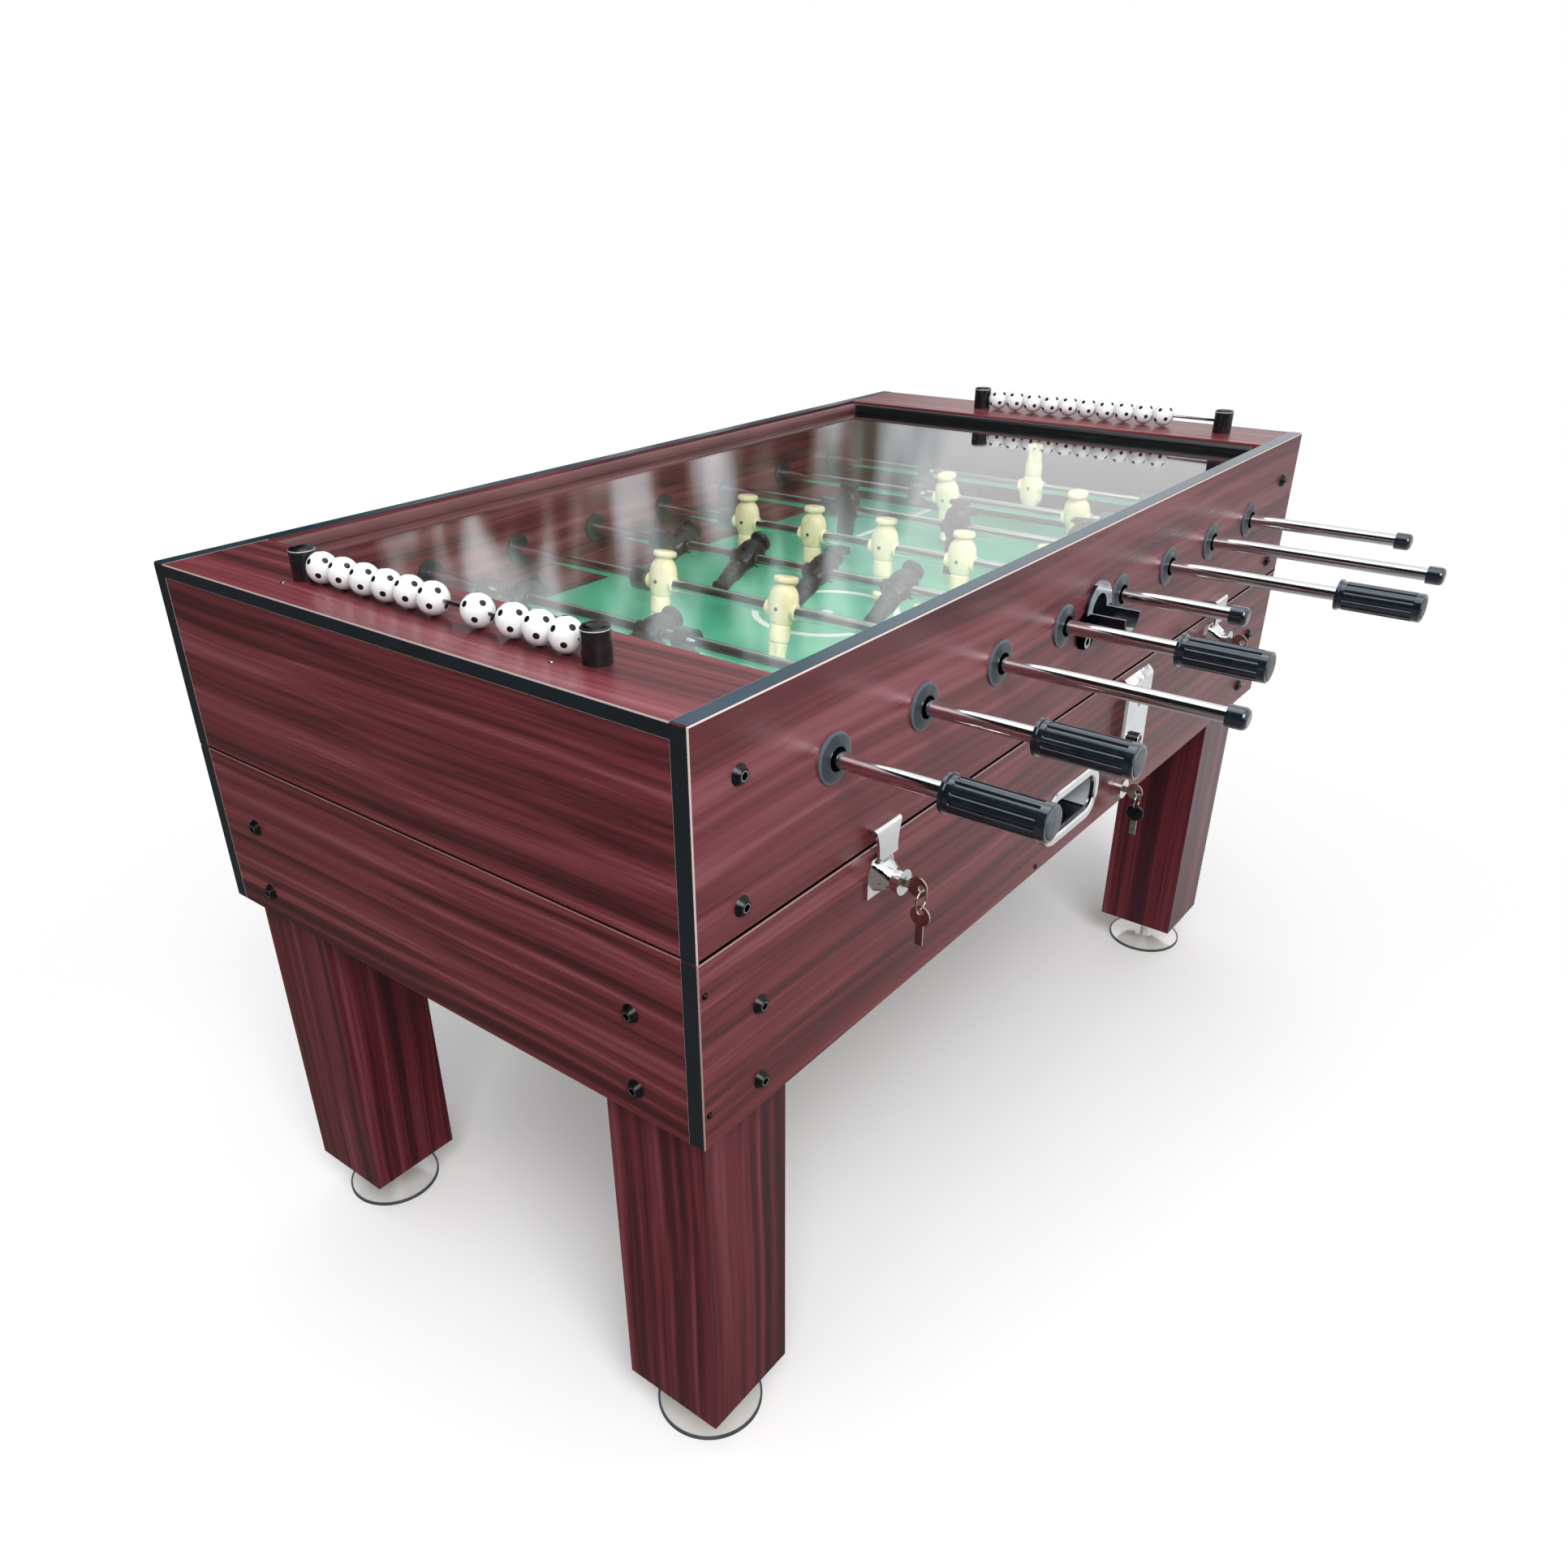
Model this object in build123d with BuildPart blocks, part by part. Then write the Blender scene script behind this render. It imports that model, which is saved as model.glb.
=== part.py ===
"""Coin-operated foosball table: a glass-topped play box hinged on a lower box with four legs.

X runs along the table, Y across it from the front (-Y) to the hinge side (+Y), Z up from the floor.
"""
import os
from math import cos, radians, sin, sqrt

from build123d import *

os.makedirs("parts", exist_ok=True)

# Boxes and legs
TABLE_LENGTH = 1430
TABLE_WIDTH = 760
PANEL = 18
PLAY_BOX_HEIGHT = 212
LOWER_BOX_HEIGHT = 201.6
SEAM = 0.4
LEG_SIDE = 127
LEG_DROP = 427
LEG_HEADROOM = 8
FLOOR_BOARD = 12
ARRIS = 1.2

# Levelling feet
FOOT_HEIGHT = 57
FOOT_DISC_D = 122
FOOT_RIM = 4
FOOT_CROWN = 7
FOOT_DISH = 0.6
FOOT_HUB_D = 34
STUD_D = 14
STUD_DEPTH = 45
JAM_NUT = 22
JAM_NUT_HEIGHT = 10

# Top of the play box
TOP_BOARD_WIDTH = 127
TOP_BOARD = 15
GLASS = 5
GLASS_GROOVE = 6
STRIP = 12
STRIP_STEP = 3

# Pitch and goals
PITCH_DROP = 172
PITCH_BOARD = 16
GOAL_WALL_SETBACK = 4
GOAL_MOUTH_WIDTH = 205
GOAL_MOUTH_HEIGHT = 80
GOAL_MOUTH_R = 22
CORNER_BLOCK = 42

# Rods
ROD_COUNT = 8
ROD_FROM_GOAL = 67
ROD_DROP = 93
ROD_D = 16
ROD_WALL = 2
ONE_MAN_STROKE = 150
TWO_MEN_STROKE = 185
THREE_MEN_STROKE = 125
FIVE_MEN_STROKE = 75
GRIP_LENGTH = 95
GRIP_D = 33
GRIP_COLLAR = 9
GRIP_LIP_D = 36.5
GRIP_LIP = 3
GRIP_END_WALL = 9
FLUTE_COUNT = 12
FLUTE_D = 6.5
FLUTE_DEPTH = 1.8
GRIP_MARGIN = 14
CAP_D = 22
CAP_LENGTH = 20
CAP_END_WALL = 6
CAP_MARGIN = 34
BUMPER_D = 30
BUMPER_LENGTH = 22
BUMPER_GAP = 0.7
TWO_MEN_BUMPER_GAP = 20.7

# Bushes in the side panels
FLANGE_D = 49
FLANGE_RIM = 2
FLANGE_HUB = 5
FLANGE_HUB_D = 27
SLEEVE_D = 26
RING_NUT_D = 40
RING_NUT = 5

# Moulded men: height on the body, depth along the table and width along the rod
MAN_CHEST = ((26, 17, 20), (16, 23, 34), (0, 25, 38), (-14, 20, 27))
MAN_LEGS = ((-27, 21, 26), (-36, 15, 22), (-52, 12, 20))
MAN_FOOT = ((-48, 14, 21), (-60, 26, 24), (-66, 20, 24))
HAT_D = 32
HAT_BASE = 24
HAT_TOP = 39
HAT_EDGE = 4

# Bolts
BOLT_D = 8
BOLT_HEAD_D = 20
BOLT_HEAD = 5.5
BOLT_HEAD_SLOPE = 35
BOLT_LENGTH = 58
LEG_BOLTS_BELOW_SEAM = (84, 170)
LEG_BOLT_FROM_END = 82
LEG_BOLT_FROM_SIDE = 83
CABINET_BOLT_BELOW_TOP = 60
CABINET_BOLT_ABOVE_SEAM = 30
CABINET_BOLT_FROM_END = 59

# Ball entry between the two middle rods
ENTRY_X = 10
ENTRY_DROP = 95
ENTRY_BORE_D = 38
ENTRY_WALL = 3
ENTRY_FLANGE_D = 54
ENTRY_FLANGE = 4
ENTRY_TAB = 40
ENTRY_TAB_WIDTH = 18
ENTRY_TONGUE = 46

# Ball return
RETURN_X = 5
RETURN_BELOW_SEAM = 139
BEZEL_WIDTH = 154
BEZEL_HEIGHT = 75
BEZEL_BAND = 13
BEZEL = 6
BEZEL_R = 33
POCKET_WALL = 3
POCKET_DEPTH = 250
POCKET_MOUTH_DEPTH = 130
POCKET_SLOPE_RISE = 16
RAMP_WIDTH = 44
RAMP_HEIGHT = 25
RAMP_SHEET = 3
RAMP_SLOPE = 4
RAMP_Y = -160
TRAY_HEIGHT = 14
TRAY_SLOPE = 2.5
TRAY_BACK_Y = 115

# Coin chute cover, button and cash box
COIN_X = 166
COIN_PLATE_WIDTH = 78
COIN_PLATE_HEIGHT = 122
COIN_PLATE = 12
COIN_PLATE_BEVEL = 9
COIN_PLATE_BELOW_SEAM = 7
COIN_SLOT_WIDTH = 4
COIN_SLOT_HEIGHT = 28
COIN_SLOT_BELOW_TOP = 32
BUTTON_D = 18
BUTTON_BELOW_TOP = 92
BUTTON_PROUD = 8
BUTTON_STEM_D = 10
BUTTON_TRAVEL = 5
CASH_BOX_WIDTH = 100
CASH_BOX_DEPTH = 92
CASH_BOX_HEIGHT = 62
CASH_BOX_SHEET = 2

# Latches and locks
LATCH_FROM_END = 272
LATCH_WIDTH = 46
LATCH_WAIST = 33
LATCH_SHEET = 3
CATCH_RISE = 24
CATCH_REACH = 12
CATCH_BLOCK = 8
CATCH_NECK = 33
CATCH_ROLL = 5
LATCH_PLATE_HEIGHT = 42
LATCH_PLATE_STEP = 14
LOCK_BELOW_SEAM = 35
LOCK_D = 24
LOCK_PROUD = 30
SHROUD_HEIGHT = 36
SHROUD_R = 9
SHROUD_RISE = 3
SHROUD_LENGTH = 20
LOCK_LIP = 1.5
LOCK_LIP_LENGTH = 5
LOCK_TAIL_D = 19
LOCK_TAIL = 12
COIN_LOCK_BELOW_SEAM = 175
COIN_LOCK_PROUD = 10
PLUG_D = 12
PLUG_LENGTH = 24
KEY = 2
KEY_BLADE = 8.4
KEY_BLADE_LENGTH = 24
KEY_BLADE_IN = 18
KEY_BOW_D = 22
KEY_HOLE_D = 8
KEY_HOLE_OFFSET = 5
RING_D = 20
RING_WIRE = 1.8

# Hinges on the back of the seam
HINGE_FROM_END = 265
HINGE_WIDTH = 78
HINGE_LEAF_HEIGHT = 42
HINGE_LEAF = 2.5
HINGE_LEAF_INSET = 6.5
KNUCKLE_D = 10
PIN_D = 6

# Scorers
SCORER_SPAN = 416
SCORER_FROM_END = 61
NEAR_SCORER_Y = -20
FAR_SCORER_Y = -69
POST_D = 27
POST_HEIGHT = 32
WIRE_D = 4
WIRE_HEIGHT = 16.5
BEAD_D = 32
BEAD_GAP = 0.3
NEAR_LEFT_BEADS = 6
NEAR_LEFT_START = 32
NEAR_LEFT_PITCH = 34.5
NEAR_RIGHT_BEADS = 3
NEAR_RIGHT_PITCH = 33
NEAR_RIGHT_START = 36
NEAR_SINGLE_SHARE = 0.33
FAR_BEADS = 10
FAR_START = 30.5

# Clearances: running fits, pieces that move past each other, and neighbours that only touch
RUN = 0.05
SLIP = 0.3
SEAT = 0.2

# Places worked out from the sizes above
half_length = TABLE_LENGTH / 2
half_width = TABLE_WIDTH / 2
inner_length = half_length - PANEL
inner_width = half_width - PANEL
base_bottom = FOOT_HEIGHT + LEG_DROP
base_top = base_bottom + LOWER_BOX_HEIGHT
box_bottom = base_top + SEAM
table_top = box_bottom + PLAY_BOX_HEIGHT
rod_z = table_top - ROD_DROP
pitch_z = table_top - PITCH_DROP
glass_top = table_top - TOP_BOARD
glass_bottom = glass_top - GLASS
board_inner = half_length - TOP_BOARD_WIDTH
goal_wall_x = board_inner + GOAL_WALL_SETBACK + PANEL / 2
goal_wall_back = goal_wall_x + PANEL / 2
leg_x = inner_length - LEG_SIDE / 2
leg_y = inner_width - LEG_SIDE / 2
rod_bore_r = ROD_D / 2 + RUN
bush_inner = inner_width - RING_NUT
bush_outer = half_width + FLANGE_HUB
corners = [(sx, sy) for sx in (-1, 1) for sy in (-1, 1)]
rod_pitch = 2 * (goal_wall_x - PANEL / 2 - ROD_FROM_GOAL) / (ROD_COUNT - 1)
rod_xs = [(number - (ROD_COUNT - 1) / 2) * rod_pitch for number in range(ROD_COUNT)]
latch_x = half_length - LATCH_FROM_END
hinge_xs = [side * (half_length - HINGE_FROM_END) for side in (-1, 0, 1)]
man_width = max(width for height, depth, width in MAN_CHEST)
strokes = {1: ONE_MAN_STROKE, 2: TWO_MEN_STROKE, 3: THREE_MEN_STROKE, 5: FIVE_MEN_STROKE}
bumper_gaps = {2: TWO_MEN_BUMPER_GAP, 3: BUMPER_GAP, 5: BUMPER_GAP}

# Men on the rod, side of the grip, slide and turn in which the rod was left
rod_plan = [
    (1, -1, 54, 40),
    (2, -1, 0, 78),
    (3, 1, -96, 12),
    (5, -1, -41, 64),
    (5, 1, -42, 5),
    (3, -1, -67, 8),
    (2, 1, -72, -8),
    (1, 1, -33, 180),
]
longest_reach = bush_outer + strokes[3] + GRIP_MARGIN + GRIP_LENGTH - rod_plan[5][2]
rod_plan[1] = (2, -1, longest_reach - bush_outer - strokes[2] - CAP_MARGIN, rod_plan[1][3])


def front(proud=0):
    """Plane on the front of the table, X to the right and Z up, facing out."""
    return Plane.XZ.offset(half_width + proud)


def back(proud=0):
    """Plane on the back of the table, facing out."""
    return Plane((0, half_width + proud, 0), x_dir=(-1, 0, 0), z_dir=(0, 1, 0))


def end(side, proud=0):
    """Plane on one end of the table, facing out, with Z up."""
    return Plane((side * (half_length + proud), 0, 0), x_dir=(0, side, 0), z_dir=(side, 0, 0))


def keep(piece, name):
    """Label a finished piece and write it under its name."""
    piece.part.label = name
    export_step(piece.part, f"parts/{name}.step")


# Bolt places: each face with the points where its bolts go in
leg_bolt_zs = [box_bottom - drop for drop in LEG_BOLTS_BELOW_SEAM]
cabinet_bolt_zs = [table_top - CABINET_BOLT_BELOW_TOP, box_bottom + CABINET_BOLT_ABOVE_SEAM]
leg_bolt_x = half_length - LEG_BOLT_FROM_END
leg_bolt_y = half_width - LEG_BOLT_FROM_SIDE
cabinet_bolt_x = half_length - CABINET_BOLT_FROM_END
side_leg_points = [(s * leg_bolt_x, z) for s in (-1, 1) for z in leg_bolt_zs]
end_leg_points = [(s * leg_bolt_y, z) for s in (-1, 1) for z in leg_bolt_zs]
cabinet_points = [(s * cabinet_bolt_x, z) for s in (-1, 1) for z in cabinet_bolt_zs]
leg_bolt_seats = [(front(), side_leg_points), (back(), side_leg_points)]
leg_bolt_seats += [(end(side), end_leg_points) for side in (-1, 1)]
cabinet_bolt_seats = [(front(), cabinet_points), (back(), cabinet_points)]


def drill_bolts(seats):
    """Cut the bolt holes of the given seats into the part being built."""
    for plane, points in seats:
        with BuildSketch(plane) as holes:
            with Locations(*points):
                Circle(BOLT_D / 2 + RUN)
        extrude(holes.sketch, amount=-BOLT_LENGTH - SEAT, mode=Mode.SUBTRACT)


def bolts(seats):
    """Button-head bolts standing in the given seats."""
    with BuildPart() as made:
        for plane, points in seats:
            with BuildSketch(plane):
                with Locations(*points):
                    Circle(BOLT_HEAD_D / 2)
            extrude(amount=BOLT_HEAD, taper=BOLT_HEAD_SLOPE)
            with BuildSketch(plane):
                with Locations(*points):
                    Circle(BOLT_D / 2)
            extrude(amount=-BOLT_LENGTH)
    return made


# Lower box: two long panels run the full length and the short ones stand between them
return_z = box_bottom - RETURN_BELOW_SEAM
pocket_width = BEZEL_WIDTH - 2 * BEZEL_BAND
pocket_height = BEZEL_HEIGHT - 2 * BEZEL_BAND
pocket_r = BEZEL_R - BEZEL_BAND
coin_plate_top = box_bottom - COIN_PLATE_BELOW_SEAM
coin_plate_z = coin_plate_top - COIN_PLATE_HEIGHT / 2
slot_z = coin_plate_top - COIN_SLOT_BELOW_TOP
button_z = coin_plate_top - BUTTON_BELOW_TOP
lock_z = box_bottom - LOCK_BELOW_SEAM
coin_lock_z = box_bottom - COIN_LOCK_BELOW_SEAM
lock_points = [(-latch_x, lock_z), (latch_x, lock_z), (COIN_X, coin_lock_z)]

with BuildPart() as base_side_panels:
    with Locations(*[(0, s * (half_width - PANEL / 2), base_bottom) for s in (-1, 1)]):
        Box(TABLE_LENGTH, PANEL, LOWER_BOX_HEIGHT, align=(Align.CENTER, Align.CENTER, Align.MIN))
    chamfer(base_side_panels.edges().group_by(Axis.Y)[0], ARRIS)
    chamfer(base_side_panels.edges().group_by(Axis.Y)[-1], ARRIS)
    with BuildSketch(front()):
        with Locations((RETURN_X, return_z)):
            RectangleRounded(pocket_width + 2 * SEAT, pocket_height + 2 * SEAT, pocket_r + SEAT)
        with Locations(*lock_points):
            Circle(LOCK_TAIL_D / 2 + SEAT)
        with Locations((COIN_X, slot_z)):
            Rectangle(COIN_SLOT_WIDTH, COIN_SLOT_HEIGHT)
        with Locations((COIN_X, button_z)):
            Circle(BUTTON_STEM_D / 2 + SLIP)
    extrude(amount=-PANEL, mode=Mode.SUBTRACT)
    drill_bolts(leg_bolt_seats[:2])
keep(base_side_panels, "base_side_panels")

with BuildPart() as base_end_panels:
    with Locations(*[(s * (half_length - PANEL / 2), 0, base_bottom) for s in (-1, 1)]):
        Box(PANEL, 2 * inner_width, LOWER_BOX_HEIGHT, align=(Align.CENTER, Align.CENTER, Align.MIN))
    drill_bolts(leg_bolt_seats[2:])
keep(base_end_panels, "base_end_panels")

with BuildPart() as base_floor:
    with BuildSketch(Plane.XY.offset(base_bottom)):
        Rectangle(2 * inner_length, 2 * inner_width)
        with Locations(*[(sx * inner_length, sy * inner_width) for sx, sy in corners]):
            Rectangle(2 * (LEG_SIDE + SEAT), 2 * (LEG_SIDE + SEAT), mode=Mode.SUBTRACT)
    extrude(amount=FLOOR_BOARD)
keep(base_floor, "base_floor")

with BuildPart() as legs:
    with BuildSketch(Plane.XY.offset(FOOT_HEIGHT)):
        with Locations(*[(sx * leg_x, sy * leg_y) for sx, sy in corners]):
            Rectangle(LEG_SIDE, LEG_SIDE)
    extrude(amount=base_top - LEG_HEADROOM - FOOT_HEIGHT)
    chamfer(legs.edges().filter_by(Axis.Z), ARRIS)
    chamfer(legs.faces().sort_by(Axis.Z)[:len(corners)].edges(), ARRIS)
    with BuildSketch(Plane.XY.offset(FOOT_HEIGHT)):
        with Locations(*[(sx * leg_x, sy * leg_y) for sx, sy in corners]):
            Circle(STUD_D / 2 + RUN)
    extrude(amount=STUD_DEPTH + SEAT, mode=Mode.SUBTRACT)
    drill_bolts(leg_bolt_seats)
keep(legs, "legs")

keep(bolts(leg_bolt_seats), "leg_bolts")

# Levelling foot: a spun chrome saucer on a stud, locked by a jam nut under the leg
with BuildPart() as foot:
    with BuildSketch(Plane.XZ):
        with BuildLine():
            rim = Line((FOOT_DISC_D / 2, 0), (FOOT_DISC_D / 2, FOOT_RIM))
            crown = SagittaArc(rim @ 1, (FOOT_HUB_D / 2, FOOT_CROWN), FOOT_DISH)
            Polyline(crown @ 1, (STUD_D / 2, FOOT_CROWN), (STUD_D / 2, FOOT_HEIGHT + STUD_DEPTH),
                     (0, FOOT_HEIGHT + STUD_DEPTH), (0, 0), rim @ 0)
        make_face()
    revolve(axis=Axis.Z)
    with BuildSketch(Plane.XY.offset(FOOT_HEIGHT - SEAT)):
        RegularPolygon(JAM_NUT / 2, 6, major_radius=False)
    extrude(amount=-JAM_NUT_HEIGHT)

with BuildPart() as levelling_feet:
    with Locations(*[(sx * leg_x, sy * leg_y) for sx, sy in corners]):
        add(foot.part)
keep(levelling_feet, "levelling_feet")

# Ball return: chrome frame on the front panel, and a sloping pocket that reaches in under the ramps
with BuildPart() as ball_return_bezel:
    with BuildSketch(front()):
        with Locations((RETURN_X, return_z)):
            RectangleRounded(BEZEL_WIDTH, BEZEL_HEIGHT, BEZEL_R)
            RectangleRounded(pocket_width + 2 * SEAT, pocket_height + 2 * SEAT, pocket_r + SEAT,
                             mode=Mode.SUBTRACT)
    extrude(amount=BEZEL)
    chamfer(ball_return_bezel.faces().sort_by(Axis.Y)[0].edges(), BEZEL / 3)
keep(ball_return_bezel, "ball_return_bezel")

pocket_back = -half_width + POCKET_DEPTH
pocket_rim = return_z + pocket_height / 2
pocket_floor = return_z - pocket_height / 2 + POCKET_WALL
hopper_front = -half_width + POCKET_MOUTH_DEPTH
hopper_depth = POCKET_DEPTH - POCKET_MOUTH_DEPTH
hopper_y = pocket_back - hopper_depth / 2
with BuildPart() as ball_return_cup:
    with BuildSketch(front()):
        with Locations((RETURN_X, return_z)):
            RectangleRounded(pocket_width, pocket_height, pocket_r)
    extrude(amount=-POCKET_MOUTH_DEPTH)
    with Locations((RETURN_X, hopper_y, return_z)):
        Box(pocket_width, hopper_depth, pocket_height)
    with BuildSketch(front()):
        with Locations((RETURN_X, return_z)):
            RectangleRounded(pocket_width - 2 * POCKET_WALL, pocket_height - 2 * POCKET_WALL,
                             pocket_r - POCKET_WALL)
    extrude(amount=-POCKET_MOUTH_DEPTH - POCKET_WALL, mode=Mode.SUBTRACT)
    with Locations((RETURN_X, hopper_y, pocket_floor)):
        Box(pocket_width - 2 * POCKET_WALL, hopper_depth - 2 * POCKET_WALL, pocket_height,
            align=(Align.CENTER, Align.CENTER, Align.MIN), mode=Mode.SUBTRACT)
    with BuildSketch(Plane.YZ.offset(RETURN_X)):
        with BuildLine():
            Polyline((pocket_back - POCKET_WALL, pocket_floor),
                     (pocket_back - POCKET_WALL, pocket_floor + POCKET_SLOPE_RISE),
                     (hopper_front + POCKET_WALL, pocket_floor), close=True)
        make_face()
    extrude(amount=pocket_width / 2 - POCKET_WALL, both=True)
keep(ball_return_cup, "ball_return_cup")

# Ball ramps: a trough from each end to the pocket, and a tray under each goal that feeds it
ramp_low_z = pocket_rim + SEAT
tray_width = inner_length - goal_wall_back - 2 * SLIP
tray_x = (inner_length + goal_wall_back) / 2
tray_length = (TRAY_BACK_Y - RAMP_Y) / cos(radians(TRAY_SLOPE))
with BuildPart() as ball_ramps:
    for side in (-1, 1):
        foot_x = RETURN_X + side * (pocket_width / 2 - POCKET_WALL)
        ramp_run = inner_length - SEAT - side * foot_x
        ramp_length = ramp_run / cos(radians(RAMP_SLOPE))
        ramp_high_z = ramp_low_z + ramp_length * sin(radians(RAMP_SLOPE))
        slope = Plane((foot_x, RAMP_Y, ramp_low_z), x_dir=(0, side, 0),
                      z_dir=(side * cos(radians(RAMP_SLOPE)), 0, sin(radians(RAMP_SLOPE))))
        with BuildSketch(slope):
            with Locations((0, RAMP_HEIGHT / 2)):
                Rectangle(RAMP_WIDTH, RAMP_HEIGHT)
            with Locations((0, RAMP_HEIGHT / 2 + RAMP_SHEET)):
                Rectangle(RAMP_WIDTH - 2 * RAMP_SHEET, RAMP_HEIGHT, mode=Mode.SUBTRACT)
        extrude(amount=ramp_length)
        fall = Plane((side * tray_x, RAMP_Y, ramp_high_z + RAMP_HEIGHT + SEAT), x_dir=(-1, 0, 0),
                     z_dir=(0, cos(radians(TRAY_SLOPE)), sin(radians(TRAY_SLOPE))))
        with BuildSketch(fall):
            with Locations((0, TRAY_HEIGHT / 2)):
                Rectangle(tray_width, TRAY_HEIGHT)
            with Locations((0, TRAY_HEIGHT / 2 + RAMP_SHEET)):
                Rectangle(tray_width - 2 * RAMP_SHEET, TRAY_HEIGHT, mode=Mode.SUBTRACT)
        extrude(amount=tray_length)
keep(ball_ramps, "ball_ramps")

# Coin chute: bevelled cover with a coin slot, a return button in it and a cash box behind
with BuildPart() as coin_plate:
    with BuildSketch(front()):
        with Locations((COIN_X, coin_plate_z)):
            Rectangle(COIN_PLATE_WIDTH, COIN_PLATE_HEIGHT)
    extrude(amount=COIN_PLATE)
    face = coin_plate.faces().sort_by(Axis.Y)[0]
    chamfer(face.edges().filter_by(Axis.X), COIN_PLATE_BEVEL)
    chamfer(coin_plate.faces().sort_by(Axis.Y)[0].edges().filter_by(Axis.Z), COIN_PLATE_BEVEL / 3)
    with BuildSketch(front()):
        with Locations((COIN_X, slot_z)):
            Rectangle(COIN_SLOT_WIDTH, COIN_SLOT_HEIGHT)
    extrude(amount=COIN_PLATE, mode=Mode.SUBTRACT)
    with BuildSketch(front()):
        with Locations((COIN_X, button_z)):
            Circle(BUTTON_D / 2 + RUN)
    extrude(amount=COIN_PLATE, mode=Mode.SUBTRACT)
keep(coin_plate, "coin_plate")

with BuildPart() as coin_button:
    with BuildSketch(front(BUTTON_TRAVEL + SLIP)):
        with Locations((COIN_X, button_z)):
            Circle(BUTTON_D / 2)
    extrude(amount=COIN_PLATE + BUTTON_PROUD - BUTTON_TRAVEL - SLIP)
    fillet(coin_button.faces().sort_by(Axis.Y)[0].edges(), BUTTON_PROUD / 3)
    with BuildSketch(front(BUTTON_TRAVEL + SLIP)):
        with Locations((COIN_X, button_z)):
            Circle(BUTTON_STEM_D / 2)
    extrude(amount=-PANEL)
keep(coin_button, "coin_button")

cash_box_y = -inner_width + CASH_BOX_DEPTH / 2 + SEAT
with BuildPart() as coin_box:
    with BuildSketch(Plane.XY.offset(base_bottom + FLOOR_BOARD)):
        with Locations((COIN_X + LOCK_D, cash_box_y + LOCK_TAIL)):
            Rectangle(CASH_BOX_WIDTH, CASH_BOX_DEPTH)
    extrude(amount=CASH_BOX_HEIGHT)
    offset(amount=-CASH_BOX_SHEET, openings=coin_box.faces().sort_by(Axis.Z)[-1])
keep(coin_box, "coin_box")

# Locks: barrels through the front panel, each bored for a plug that turns with its key
lock_prouds = [LOCK_PROUD, LOCK_PROUD, COIN_LOCK_PROUD]
lock_seats = [LATCH_SHEET, LATCH_SHEET, 0]
with BuildPart() as lock_barrels:
    for (x, z), proud, seat in zip(lock_points, lock_prouds, lock_seats):
        with BuildSketch(front(seat)):
            with Locations((x, z)):
                Circle(LOCK_D / 2)
        extrude(amount=proud - seat)
        if seat:
            with BuildSketch(front(seat)):
                with Locations((x, z + SHROUD_RISE)):
                    RectangleRounded(LATCH_WAIST, SHROUD_HEIGHT, SHROUD_R)
            with BuildSketch(front(SHROUD_LENGTH)):
                with Locations((x, z)):
                    Circle(LOCK_D / 2)
            loft()
        with BuildSketch(front(proud)):
            with Locations((x, z)):
                Circle(LOCK_D / 2 + LOCK_LIP)
        extrude(amount=-LOCK_LIP_LENGTH)
        with BuildSketch(front(seat)):
            with Locations((x, z)):
                Circle(LOCK_TAIL_D / 2)
        extrude(amount=-PANEL - LOCK_TAIL - seat)
        with BuildSketch(front(proud)):
            with Locations((x, z)):
                Circle(PLUG_D / 2 + RUN)
        extrude(amount=-PLUG_LENGTH - SLIP, mode=Mode.SUBTRACT)
keep(lock_barrels, "lock_barrels")

# Latches: a plate under each lock on the lower box, and a waisted catch with a rolled hood on the play box
catch_top_z = box_bottom + CATCH_RISE
catch_foot_z = box_bottom - CATCH_REACH
plate_top_z = catch_foot_z - SLIP - SEAM
with BuildPart() as latch_plates:
    for x in (-latch_x, latch_x):
        with BuildSketch(front()):
            with BuildLine():
                Polyline((x - LATCH_WAIST / 2, plate_top_z), (x + LATCH_WAIST / 2, plate_top_z),
                         (x + LATCH_WIDTH / 2, plate_top_z - LATCH_PLATE_STEP),
                         (x + LATCH_WIDTH / 2, plate_top_z - LATCH_PLATE_HEIGHT),
                         (x - LATCH_WIDTH / 2, plate_top_z - LATCH_PLATE_HEIGHT),
                         (x - LATCH_WIDTH / 2, plate_top_z - LATCH_PLATE_STEP), close=True)
            make_face()
            with Locations((x, lock_z)):
                Circle(LOCK_TAIL_D / 2 + SEAT, mode=Mode.SUBTRACT)
        extrude(amount=LATCH_SHEET)
keep(latch_plates, "latch_plates")

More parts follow.
